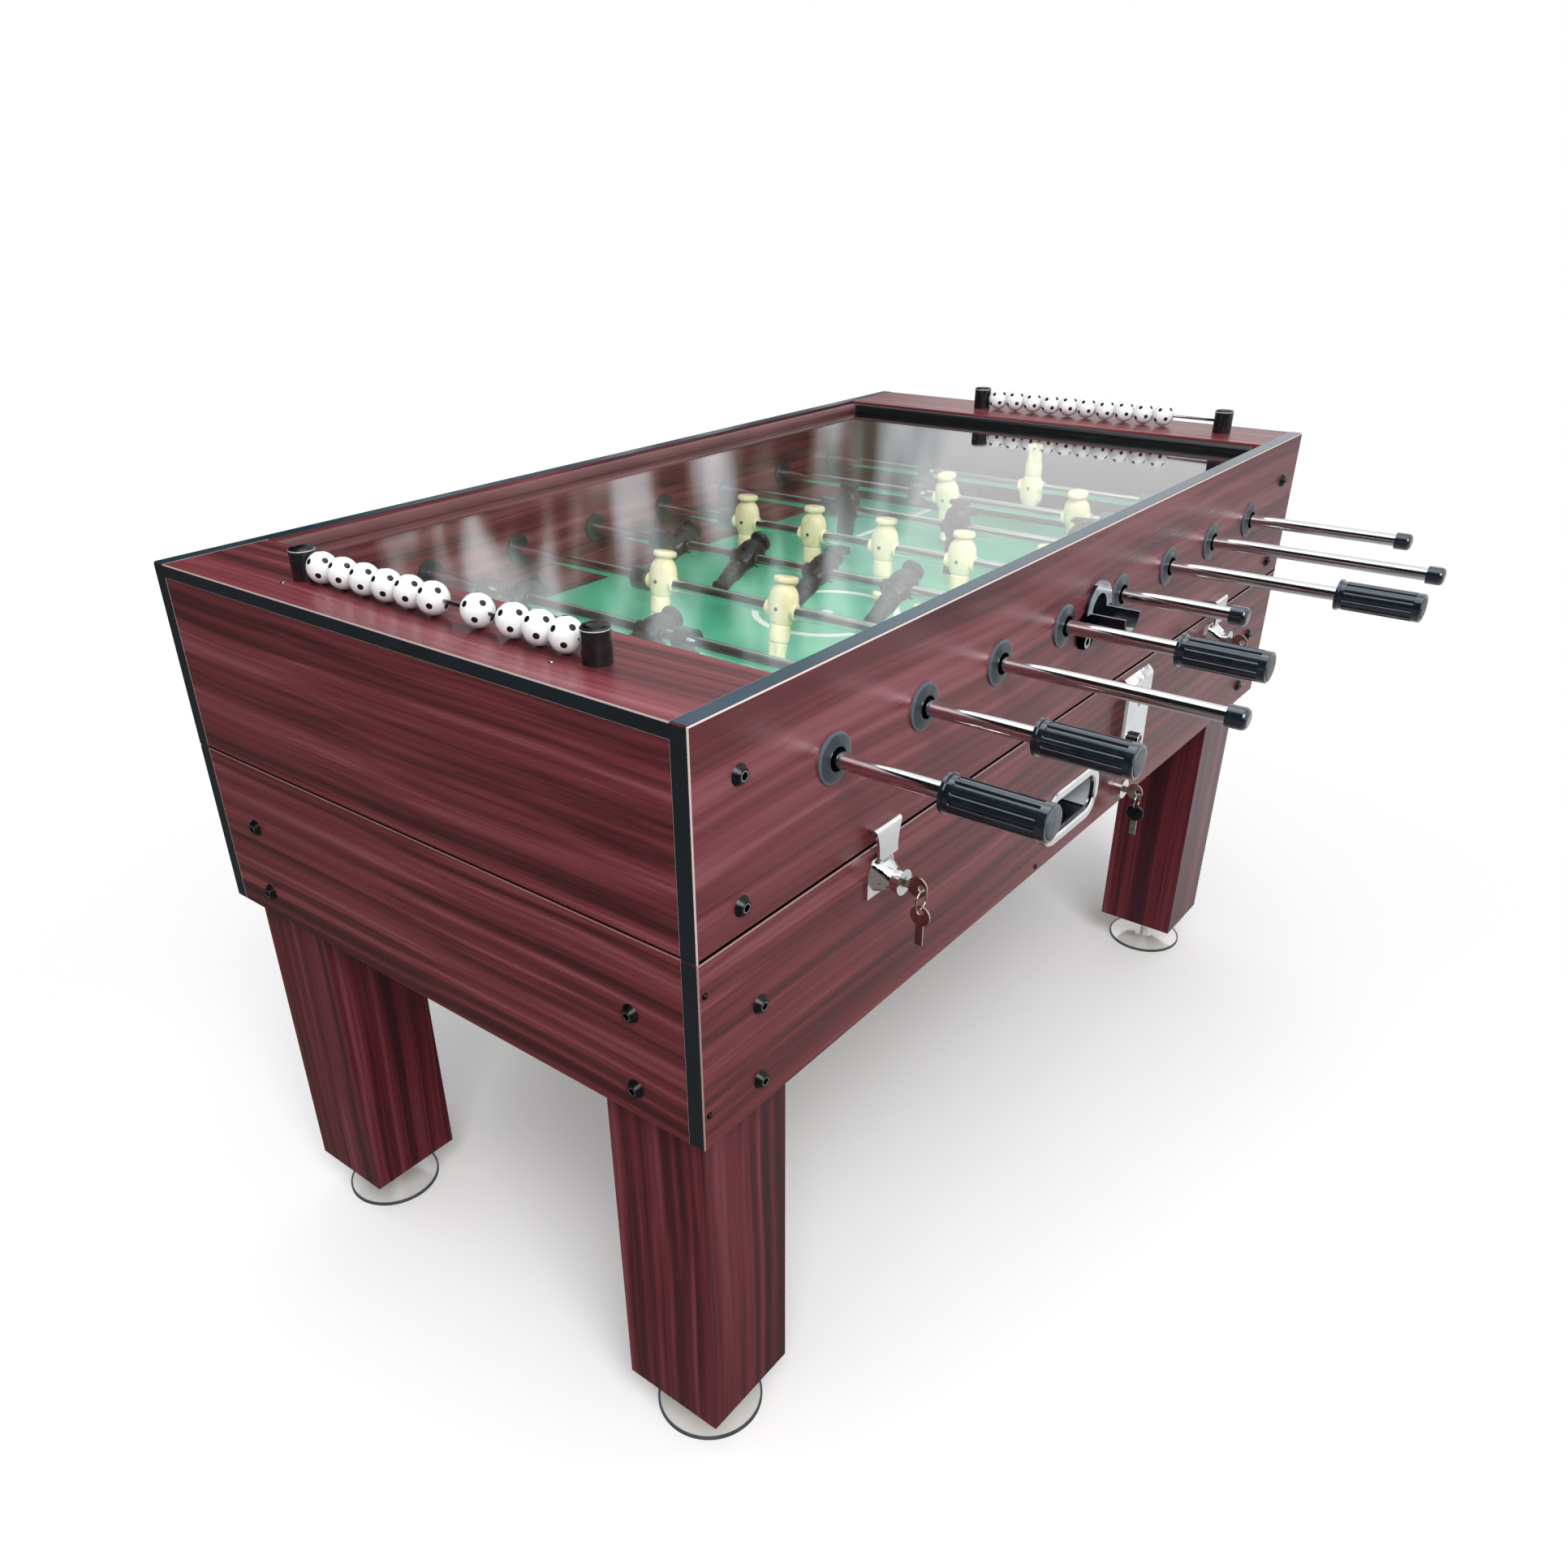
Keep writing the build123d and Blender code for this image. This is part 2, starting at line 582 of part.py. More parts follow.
catch_y = -half_width - CATCH_BLOCK - LATCH_SHEET
with BuildPart() as catch:
    with BuildSketch(Plane.YZ):
        with BuildLine():
            Polyline((-half_width, catch_top_z), (catch_y, catch_top_z),
                     (catch_y, catch_foot_z), (catch_y + LATCH_SHEET, catch_foot_z),
                     (catch_y + LATCH_SHEET, catch_top_z - LATCH_SHEET),
                     (-half_width, catch_top_z - LATCH_SHEET), close=True)
        make_face()
        fillet(vertices().sort_by_distance((catch_y, catch_top_z))[0], CATCH_ROLL)
    extrude(amount=LATCH_WIDTH / 2, both=True)
    with BuildSketch(front()):
        with BuildLine():
            top = Line((-LATCH_WIDTH / 2, catch_top_z), (LATCH_WIDTH / 2, catch_top_z))
            right = ThreePointArc(top @ 1, (CATCH_NECK / 2, box_bottom), (LATCH_WAIST / 2, catch_foot_z))
            low = Line(right @ 1, (-LATCH_WAIST / 2, catch_foot_z))
            ThreePointArc(low @ 1, (-CATCH_NECK / 2, box_bottom), top @ 0)
        make_face()
    extrude(amount=CATCH_BLOCK + LATCH_SHEET, mode=Mode.INTERSECT)
    with BuildSketch(front()):
        with Locations((0, box_bottom + CATCH_RISE / 2 + SEAM)):
            Rectangle(LATCH_WAIST, CATCH_RISE - 2 * SEAM)
    extrude(amount=CATCH_BLOCK)

with BuildPart() as latch_catches:
    with Locations((-latch_x, 0, 0), (latch_x, 0, 0)):
        add(catch.part)
keep(latch_catches, "latch_catches")


def lock_face(x, z, proud):
    """Plane on the front of a lock, facing out, X to the right and Z up."""
    return Plane((x, -half_width - proud, z), x_dir=(1, 0, 0), z_dir=(0, -1, 0))


bow_r = KEY_BOW_D / 2
blade_out = KEY_BLADE_LENGTH - KEY_BLADE_IN
bow_out = blade_out + bow_r - KEY
hole_out = bow_out + KEY_HOLE_OFFSET
hole_seat = KEY_HOLE_D / 2 - RING_WIRE / 2 - SEAT
ring_drop = hole_seat + RING_D / 2
spare_hole_drop = ring_drop + RING_D / 2 + hole_seat


def lock_key(x, z, proud, name):
    """A lock plug with the key standing in its keyway."""
    face = lock_face(x, z, proud)
    with BuildPart() as made:
        with BuildSketch(face):
            Circle(PLUG_D / 2)
            Rectangle(KEY + 2 * SEAT, KEY_BLADE + 2 * SEAT, mode=Mode.SUBTRACT)
        extrude(amount=-PLUG_LENGTH)
        with BuildSketch(face.offset(-KEY_BLADE_IN)):
            Rectangle(KEY, KEY_BLADE)
        extrude(amount=KEY_BLADE_LENGTH)
        with BuildSketch(Plane((x, -half_width - proud, z), x_dir=(0, -1, 0), z_dir=(1, 0, 0))):
            with Locations((bow_out, 0)):
                Circle(bow_r)
            with Locations((hole_out, 0)):
                Circle(KEY_HOLE_D / 2, mode=Mode.SUBTRACT)
        extrude(amount=KEY / 2, both=True)
    keep(made, name)


def hanging_key(x, z, proud, name):
    """A split ring through the bow of the key in the lock, with a second key hanging from it."""
    hook_y = -half_width - proud - hole_out
    with BuildPart() as made:
        with Locations(Location((x, hook_y, z - ring_drop), (90, 0, 0))):
            Torus(RING_D / 2, RING_WIRE / 2)
        with BuildSketch(Plane((x, hook_y, z - spare_hole_drop), x_dir=(0, 1, 0), z_dir=(1, 0, 0))):
            with Locations((0, -KEY_HOLE_OFFSET)):
                Circle(bow_r)
            with Locations((0, -KEY_HOLE_OFFSET - bow_r - KEY_BLADE_LENGTH / 2 + KEY)):
                Rectangle(KEY_BLADE, KEY_BLADE_LENGTH)
            Circle(KEY_HOLE_D / 2, mode=Mode.SUBTRACT)
        extrude(amount=KEY / 2, both=True)
    keep(made, name)


lock_key(-latch_x, lock_z, LOCK_PROUD, "latch_key_left")
lock_key(latch_x, lock_z, LOCK_PROUD, "latch_key_right")
lock_key(COIN_X, coin_lock_z, COIN_LOCK_PROUD, "coin_key")
hanging_key(-latch_x, lock_z, LOCK_PROUD, "latch_spare_left")
hanging_key(COIN_X, coin_lock_z, COIN_LOCK_PROUD, "coin_spare")

# Hinges: three-knuckle butt hinges across the seam at the back
hinge_y = half_width + KNUCKLE_D / 2 + SLIP
hinge_z = base_top + SEAM / 2
knuckle = HINGE_WIDTH / 3


def hinge_leaves(direction, knuckle_offsets):
    """Leaves on one side of the seam with the knuckles that carry the pin."""
    for x in hinge_xs:
        with BuildSketch(back()) as leaf:
            with Locations((-x, hinge_z + direction * (HINGE_LEAF_INSET + HINGE_LEAF_HEIGHT / 2))):
                Rectangle(HINGE_WIDTH, HINGE_LEAF_HEIGHT)
            tab_z = hinge_z + direction * HINGE_LEAF_INSET / 2
            with Locations(*[(-x - shift, tab_z) for shift in knuckle_offsets]):
                Rectangle(knuckle - 2 * SLIP, HINGE_LEAF_INSET)
        extrude(leaf.sketch, amount=HINGE_LEAF)
        for shift in knuckle_offsets:
            with BuildSketch(Plane.YZ.offset(x + shift)) as barrel:
                with Locations((hinge_y, hinge_z)):
                    Circle(KNUCKLE_D / 2)
            extrude(barrel.sketch, amount=knuckle / 2 - SLIP, both=True)
        with BuildSketch(Plane.YZ.offset(x)) as pin_hole:
            with Locations((hinge_y, hinge_z)):
                Circle(PIN_D / 2 + RUN)
        extrude(pin_hole.sketch, amount=HINGE_WIDTH, both=True, mode=Mode.SUBTRACT)


with BuildPart() as hinge_base_leaves:
    hinge_leaves(-1, (-knuckle, knuckle))
    for x in hinge_xs:
        with BuildSketch(Plane.YZ.offset(x)):
            with Locations((hinge_y, hinge_z)):
                Circle(PIN_D / 2)
        extrude(amount=HINGE_WIDTH / 2, both=True)
keep(hinge_base_leaves, "hinge_base_leaves")

with BuildPart() as hinge_lid_leaves:
    hinge_leaves(1, (0,))
keep(hinge_lid_leaves, "hinge_lid_leaves")

# Play box: long side panels, grooved for the glass and bored for the bushes
entry_z = table_top - ENTRY_DROP
groove_z = (glass_top + glass_bottom) / 2
with BuildPart() as side_panels:
    with Locations(*[(0, s * (half_width - PANEL / 2), box_bottom) for s in (-1, 1)]):
        Box(TABLE_LENGTH, PANEL, PLAY_BOX_HEIGHT, align=(Align.CENTER, Align.CENTER, Align.MIN))
    chamfer(side_panels.edges().group_by(Axis.Y)[0], ARRIS)
    chamfer(side_panels.edges().group_by(Axis.Y)[-1], ARRIS)
    with Locations((0, 0, groove_z)):
        Box(2 * goal_wall_back, 2 * (inner_width + GLASS_GROOVE), GLASS + 2 * SEAT, mode=Mode.SUBTRACT)
    with BuildSketch(Plane.XZ):
        with Locations(*[(x, rod_z) for x in rod_xs]):
            Circle(SLEEVE_D / 2 + SEAT)
    extrude(amount=half_width, both=True, mode=Mode.SUBTRACT)
    with BuildSketch(front()):
        with Locations((ENTRY_X, entry_z)):
            Circle(ENTRY_BORE_D / 2 + ENTRY_WALL + SEAT)
    extrude(amount=-PANEL, mode=Mode.SUBTRACT)
    drill_bolts(cabinet_bolt_seats)
keep(side_panels, "side_panels")

with BuildPart() as end_panels:
    with Locations(*[(s * (half_length - PANEL / 2), 0, box_bottom) for s in (-1, 1)]):
        Box(PANEL, 2 * inner_width, PLAY_BOX_HEIGHT - TOP_BOARD,
            align=(Align.CENTER, Align.CENTER, Align.MIN))
keep(end_panels, "end_panels")

with BuildPart() as top_boards:
    with Locations(*[(s * (half_length - TOP_BOARD_WIDTH / 2), 0, glass_top) for s in (-1, 1)]):
        Box(TOP_BOARD_WIDTH, 2 * inner_width, TOP_BOARD, align=(Align.CENTER, Align.CENTER, Align.MIN))
    scorer_x = half_length - SCORER_FROM_END
    scorer_ends = [(-scorer_x, NEAR_SCORER_Y), (scorer_x, FAR_SCORER_Y)]
    chamfer(top_boards.edges().group_by(Axis.X)[0], ARRIS)
    chamfer(top_boards.edges().group_by(Axis.X)[-1], ARRIS)
keep(top_boards, "top_boards")

with BuildPart() as playfield:
    with Locations((0, 0, pitch_z)):
        Box(2 * goal_wall_back, 2 * inner_width, PITCH_BOARD, align=(Align.CENTER, Align.CENTER, Align.MAX))
keep(playfield, "playfield")

# Goal frames: the wall with the goal mouth, and blocks that take the panel bolts in the corners behind it
block_length = inner_length - goal_wall_back - SEAT
with BuildPart() as goal_frames:
    with Locations(*[(s * goal_wall_x, 0, pitch_z) for s in (-1, 1)]):
        Box(PANEL, 2 * inner_width, glass_bottom - pitch_z, align=(Align.CENTER, Align.CENTER, Align.MIN))
    with BuildSketch(Plane.YZ):
        with Locations((0, pitch_z)):
            Rectangle(GOAL_MOUTH_WIDTH, 2 * GOAL_MOUTH_HEIGHT)
        fillet(vertices(), GOAL_MOUTH_R)
    extrude(amount=half_length, both=True, mode=Mode.SUBTRACT)
    for sx, sy in corners:
        block_x = sx * (inner_length - block_length / 2)
        block_y = sy * (inner_width - CORNER_BLOCK / 2)
        with Locations((block_x, block_y, box_bottom)):
            Box(block_length, CORNER_BLOCK, glass_top - box_bottom,
                align=(Align.CENTER, Align.CENTER, Align.MIN))
    drill_bolts(cabinet_bolt_seats)
keep(goal_frames, "goal_frames")

keep(bolts(cabinet_bolt_seats), "cabinet_bolts")

with BuildPart() as glass:
    with Locations((0, 0, glass_bottom)):
        Box(2 * goal_wall_x, 2 * (inner_width + GLASS_GROOVE - SEAT), GLASS,
            align=(Align.CENTER, Align.CENTER, Align.MIN))
keep(glass, "glass")

# Beading on the glass: quarter-round strips against the side panels and the end boards
strip_z = glass_top + STRIP / 2
with BuildPart() as glass_strips:
    for plane, wall, length in ((Plane.YZ, inner_width, board_inner - SEAT),
                                (Plane.XZ, board_inner, inner_width - STRIP - SEAT)):
        for side in (-1, 1):
            with BuildSketch(plane):
                with Locations((side * (wall - STRIP / 2), strip_z)):
                    strip = Rectangle(STRIP, STRIP)
                fillet(strip.vertices().sort_by_distance((0, strip_z + STRIP))[0], STRIP - STRIP_STEP)
            extrude(amount=length, both=True)
keep(glass_strips, "glass_strips")

# Ball entry: arched flange with a sleeve through the panel and a half-round tongue that holds the ball
with BuildPart() as ball_entry_cup:
    with BuildSketch(front()):
        with Locations((ENTRY_X, entry_z)):
            Circle(ENTRY_FLANGE_D / 2)
        with BuildLine():
            Polyline((ENTRY_X - ENTRY_FLANGE_D / 2, entry_z), (ENTRY_X + ENTRY_FLANGE_D / 2, entry_z),
                     (ENTRY_X + ENTRY_TAB_WIDTH / 2, entry_z - ENTRY_TAB),
                     (ENTRY_X - ENTRY_TAB_WIDTH / 2, entry_z - ENTRY_TAB), close=True)
        make_face()
    extrude(amount=ENTRY_FLANGE)
    with BuildSketch(front()):
        with Locations((ENTRY_X, entry_z)):
            Circle(ENTRY_BORE_D / 2 + ENTRY_WALL)
    extrude(amount=-PANEL)
    with BuildSketch(front()):
        with Locations((ENTRY_X, entry_z)):
            Circle(ENTRY_BORE_D / 2 + ENTRY_WALL)
        with Locations((ENTRY_X, entry_z + ENTRY_FLANGE_D / 2)):
            Rectangle(ENTRY_FLANGE_D, ENTRY_FLANGE_D, mode=Mode.SUBTRACT)
    extrude(amount=ENTRY_TONGUE)
    with BuildSketch(front(ENTRY_TONGUE)):
        with Locations((ENTRY_X, entry_z)):
            Circle(ENTRY_BORE_D / 2)
    extrude(amount=-ENTRY_TONGUE - PANEL, mode=Mode.SUBTRACT)
keep(ball_entry_cup, "ball_entry_cup")

# Bush: a dished flange with a sleeve through the panel, held by a ring nut inside
with BuildPart() as bush:
    with BuildSketch(Plane.XZ):
        with BuildLine():
            Polyline((rod_bore_r, FLANGE_HUB), (FLANGE_HUB_D / 2, FLANGE_HUB), (FLANGE_D / 2, FLANGE_RIM),
                     (FLANGE_D / 2, 0), (SLEEVE_D / 2, 0), (SLEEVE_D / 2, -PANEL - RING_NUT),
                     (rod_bore_r, -PANEL - RING_NUT), close=True)
        make_face()
    revolve(axis=Axis.Z)

with BuildPart() as ring_nut:
    with BuildSketch(Plane.XY.offset(-PANEL)):
        RegularPolygon(RING_NUT_D / 2, 8)
        Circle(SLEEVE_D / 2 + RUN, mode=Mode.SUBTRACT)
    extrude(amount=-RING_NUT)

bush_places = [Location((x, -half_width, rod_z), (90, 0, 0)) for x in rod_xs]
bush_places += [Location((x, half_width, rod_z), (-90, 0, 0)) for x in rod_xs]
with BuildPart() as rod_bushings:
    with Locations(*bush_places):
        add(bush.part)
        add(ring_nut.part)
keep(rod_bushings, "rod_bushings")

# Scorers: two posts and a wire on each end board, with beads that slide along the wire
with BuildPart() as scorer_rails:
    for x, y in scorer_ends:
        with BuildSketch(Plane.XY.offset(table_top)):
            with Locations((x, y - SCORER_SPAN / 2), (x, y + SCORER_SPAN / 2)):
                Circle(POST_D / 2)
        extrude(amount=POST_HEIGHT)
        with BuildSketch(Plane.XZ.offset(-y)):
            with Locations((x, table_top + WIRE_HEIGHT)):
                Circle(WIRE_D / 2)
        extrude(amount=SCORER_SPAN / 2, both=True)
    chamfer(scorer_rails.faces().sort_by(Axis.Z)[-4:].edges(), ARRIS)
keep(scorer_rails, "scorer_rails")

with BuildPart() as bead:
    bead_hole_r = WIRE_D / 2 + RUN
    bead_r = BEAD_D / 2
    bead_flat = sqrt(bead_r ** 2 - bead_hole_r ** 2)
    with BuildSketch(Plane.XZ):
        with BuildLine():
            ball = ThreePointArc((bead_hole_r, -bead_flat), (bead_r, 0), (bead_hole_r, bead_flat))
            Line(ball @ 1, ball @ 0)
        make_face()
    revolve(axis=Axis.Z)


def bead_row(x, ys, name):
    """Beads threaded on a scorer wire at the given places."""
    with BuildPart() as made:
        with Locations(*[Location((x, y, table_top + WIRE_HEIGHT), (90, 0, 0)) for y in ys]):
            add(bead.part)
    keep(made, name)


left_post_y = NEAR_SCORER_Y + SCORER_SPAN / 2
right_post_y = NEAR_SCORER_Y - SCORER_SPAN / 2
near_left = [left_post_y - NEAR_LEFT_START - i * NEAR_LEFT_PITCH for i in range(NEAR_LEFT_BEADS)]
near_right = [right_post_y + NEAR_RIGHT_START + i * NEAR_RIGHT_PITCH for i in range(NEAR_RIGHT_BEADS)]
free_wire = near_left[-1] - near_right[-1] - 2 * BEAD_D
near_right.append(near_right[-1] + BEAD_D + free_wire * NEAR_SINGLE_SHARE)
far_first = FAR_SCORER_Y + SCORER_SPAN / 2 - FAR_START
far_row = [far_first - i * (BEAD_D + BEAD_GAP) for i in range(FAR_BEADS)]
bead_row(-scorer_x, near_left, "near_beads_left")
bead_row(-scorer_x, near_right, "near_beads_right")
bead_row(scorer_x, far_row, "far_beads")

# Man: a lofted body between hat and boot, bored across the chest for the rod
with BuildPart() as man:
    for height, depth, width in MAN_CHEST + MAN_LEGS:
        with BuildSketch(Plane.XY.offset(height)):
            Ellipse(depth / 2, width / 2)
    loft(ruled=True)
    for height, depth, width in MAN_FOOT:
        with BuildSketch(Plane.XY.offset(height)):
            Rectangle(depth, width)
    loft(ruled=True)
    with BuildSketch(Plane.XY.offset(HAT_BASE)):
        Circle(HAT_D / 2 - HAT_EDGE)
    with BuildSketch(Plane.XY.offset(HAT_BASE + HAT_EDGE)):
        Circle(HAT_D / 2)
    with BuildSketch(Plane.XY.offset(HAT_TOP - HAT_EDGE)):
        Circle(HAT_D / 2)
    with BuildSketch(Plane.XY.offset(HAT_TOP)):
        Circle(HAT_D / 2 - HAT_EDGE)
    loft(ruled=True)
    with BuildSketch(Plane.XZ):
        Circle(rod_bore_r)
    extrude(amount=HAT_D, both=True, mode=Mode.SUBTRACT)

# Grip, cap and bumper, each turned about the rod and pointing out along +Z from its inner end
with BuildPart() as grip:
    with BuildSketch(Plane.XY):
        Circle(GRIP_D / 2)
    extrude(amount=GRIP_LENGTH)
    with BuildSketch(Plane.XY):
        Circle(GRIP_LIP_D / 2)
    extrude(amount=GRIP_LIP)
    with BuildSketch(Plane.XY.offset(GRIP_COLLAR)):
        with PolarLocations(GRIP_D / 2 + FLUTE_D / 2 - FLUTE_DEPTH, FLUTE_COUNT):
            Circle(FLUTE_D / 2)
    extrude(amount=GRIP_LENGTH - 2 * GRIP_COLLAR, mode=Mode.SUBTRACT)
    chamfer(grip.faces().filter_by(Axis.Z).group_by(Axis.Z)[-1].edges(), ARRIS)
    with BuildSketch(Plane.XY):
        Circle(rod_bore_r)
    extrude(amount=GRIP_LENGTH - GRIP_END_WALL, mode=Mode.SUBTRACT)

with BuildPart() as cap:
    with BuildSketch(Plane.XY):
        Circle(CAP_D / 2)
    extrude(amount=CAP_LENGTH)
    fillet(cap.faces().sort_by(Axis.Z)[-1].edges(), CAP_D / 4)
    with BuildSketch(Plane.XY):
        Circle(rod_bore_r)
    extrude(amount=CAP_LENGTH - CAP_END_WALL, mode=Mode.SUBTRACT)

with BuildPart() as bumper:
    with BuildSketch(Plane.XY):
        Circle(BUMPER_D / 2)
        Circle(rod_bore_r, mode=Mode.SUBTRACT)
    extrude(amount=BUMPER_LENGTH)


def men_places(count, middle):
    """Places of the men along a rod: one in the middle, or evenly spread between the bumpers."""
    if count == 1:
        return [middle]
    reach = bush_inner - SLIP - strokes[count] - BUMPER_LENGTH - bumper_gaps[count] - man_width / 2
    return [middle + reach * (2 * i / (count - 1) - 1) for i in range(count)]


def along_rod(x, centre, side, distance):
    """Place on a rod, a distance from its middle towards one side, facing out along the rod."""
    return Location((x, centre + side * distance, rod_z), (-side * 90, 0, 0))


for number, (men_count, grip_side, rest_slide, rest_turn) in enumerate(rod_plan, 1):
    x = rod_xs[number - 1]
    stroke = strokes[men_count]
    grip_start = bush_outer + stroke + GRIP_MARGIN
    cap_start = bush_outer + stroke + CAP_MARGIN - CAP_LENGTH
    bar_out = grip_start + GRIP_LENGTH - GRIP_END_WALL - SEAT
    bar_in = cap_start + CAP_LENGTH - CAP_END_WALL - SEAT
    bumper_start = bush_inner - SLIP - stroke - BUMPER_LENGTH

    with BuildPart() as bar:
        bar_end = (x, rest_slide - grip_side * bar_in, rod_z)
        with BuildSketch(Plane(bar_end, x_dir=(1, 0, 0), z_dir=(0, grip_side, 0))):
            Circle(ROD_D / 2)
            Circle(ROD_D / 2 - ROD_WALL, mode=Mode.SUBTRACT)
        extrude(amount=bar_in + bar_out)
    keep(bar, f"rod_{number}_bar")

    with BuildPart() as men:
        men_ys = men_places(men_count, rest_slide)
        with Locations(*[Location((x, y, rod_z), (0, rest_turn, 0)) for y in men_ys]):
            add(man.part)
    keep(men, f"rod_{number}_men")

    with BuildPart() as grip_set:
        with Locations(along_rod(x, rest_slide, grip_side, grip_start)):
            add(grip.part)
        with Locations(along_rod(x, rest_slide, -grip_side, cap_start)):
            add(cap.part)
        with Locations(*[along_rod(x, rest_slide, side, bumper_start) for side in (-1, 1)]):
            add(bumper.part)
    keep(grip_set, f"rod_{number}_grip")
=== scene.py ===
"""Coin-operated foosball table in mahogany laminate, as it stands with its rods left where play ended."""

import bmesh
import bpy
from math import asin, cos, pi, radians, sin, sqrt
from mathutils import Matrix, Vector


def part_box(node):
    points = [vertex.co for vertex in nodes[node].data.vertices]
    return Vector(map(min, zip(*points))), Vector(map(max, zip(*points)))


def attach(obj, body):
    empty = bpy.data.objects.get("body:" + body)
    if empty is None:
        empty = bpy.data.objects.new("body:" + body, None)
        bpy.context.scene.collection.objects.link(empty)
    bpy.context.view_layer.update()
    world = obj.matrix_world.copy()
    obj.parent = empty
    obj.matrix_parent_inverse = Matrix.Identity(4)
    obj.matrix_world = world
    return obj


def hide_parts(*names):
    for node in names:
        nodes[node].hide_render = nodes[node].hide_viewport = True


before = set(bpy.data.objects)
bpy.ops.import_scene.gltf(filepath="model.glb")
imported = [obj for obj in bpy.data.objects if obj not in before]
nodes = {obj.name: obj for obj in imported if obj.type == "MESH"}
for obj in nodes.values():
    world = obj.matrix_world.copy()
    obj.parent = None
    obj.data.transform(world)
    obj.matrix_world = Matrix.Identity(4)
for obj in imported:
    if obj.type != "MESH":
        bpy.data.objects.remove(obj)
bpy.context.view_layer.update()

# Panels of both boxes, end boards and legs: chipboard faced with melamine paper printed as mahogany.
# The grain runs the long way of each board. The sawn arrises take a thin pale line, a painted highlight
# where the bevel catches the light, and undersides are bare board.


def linear(colour):
    """Linear RGBA from an sRGB hex colour."""
    channels = [int(colour[i:i + 2], 16) / 255 for i in (0, 2, 4)]
    return tuple(c / 12.92 if c <= 0.04045 else ((c + 0.055) / 1.055) ** 2.4 for c in channels) + (1.0,)


def add(tree, kind, settings=None, values=None, links=None, stops=()):
    """Add a node with its settings, plain values, links from nodes or sockets, and a ramp's colour stops."""
    node = tree.nodes.new(kind)
    for name, value in (settings or {}).items():
        setattr(node, name, value)
    for socket, value in (values or {}).items():
        node.inputs[socket].default_value = value
    for socket, source in (links or {}).items():
        output = source.outputs[0] if isinstance(source, bpy.types.Node) else source
        tree.links.new(output, node.inputs[socket])
    for position, colour in stops:
        node.color_ramp.elements.new(position).color = linear(colour)
    if stops:
        node.color_ramp.elements.remove(node.color_ramp.elements[0])
        node.color_ramp.elements.remove(node.color_ramp.elements[-1])
    return node


def blank(name, metallic=0.0, coat=0.0):
    """A new material; returns it with its tree, its main shader and its coordinates."""
    made = bpy.data.materials.new(name)
    made.use_nodes = True
    shader = made.node_tree.nodes["Principled BSDF"]
    shader.inputs["Metallic"].default_value = metallic
    shader.inputs["Coat Weight"].default_value = coat
    return made, made.node_tree, shader, add(made.node_tree, "ShaderNodeTexCoord").outputs


def dress(material, *names):
    """Give CAD nodes one material."""
    for name in names:
        nodes[name].data.materials.clear()
        nodes[name].data.materials.append(material)


GRAIN = ((0.05, 2.4, 0.40), (0.012, 1.4, 0.48), (0.003, 0.8, 0.12))  # width, length and share of each layer
WANDER = 0.6
BEND = 0.035
SQUARE_ON = 0.9
PORE_DEPTH = 0.0001
NOISE_MIDDLE = {"From Min": 0.3, "From Max": 0.7}
PANEL_TONES = ((0.38, "421A1F"), (0.45, "57262C"), (0.50, "6C2F35"), (0.55, "79383F"), (0.62, "8E4F58"))
LEG_TONES = ((0.38, "351820"), (0.45, "491A24"), (0.50, "62242E"), (0.55, "702E39"), (0.62, "824450"))
BARE_TONES = ((0.35, "8A6B4C"), (0.65, "B39671"))


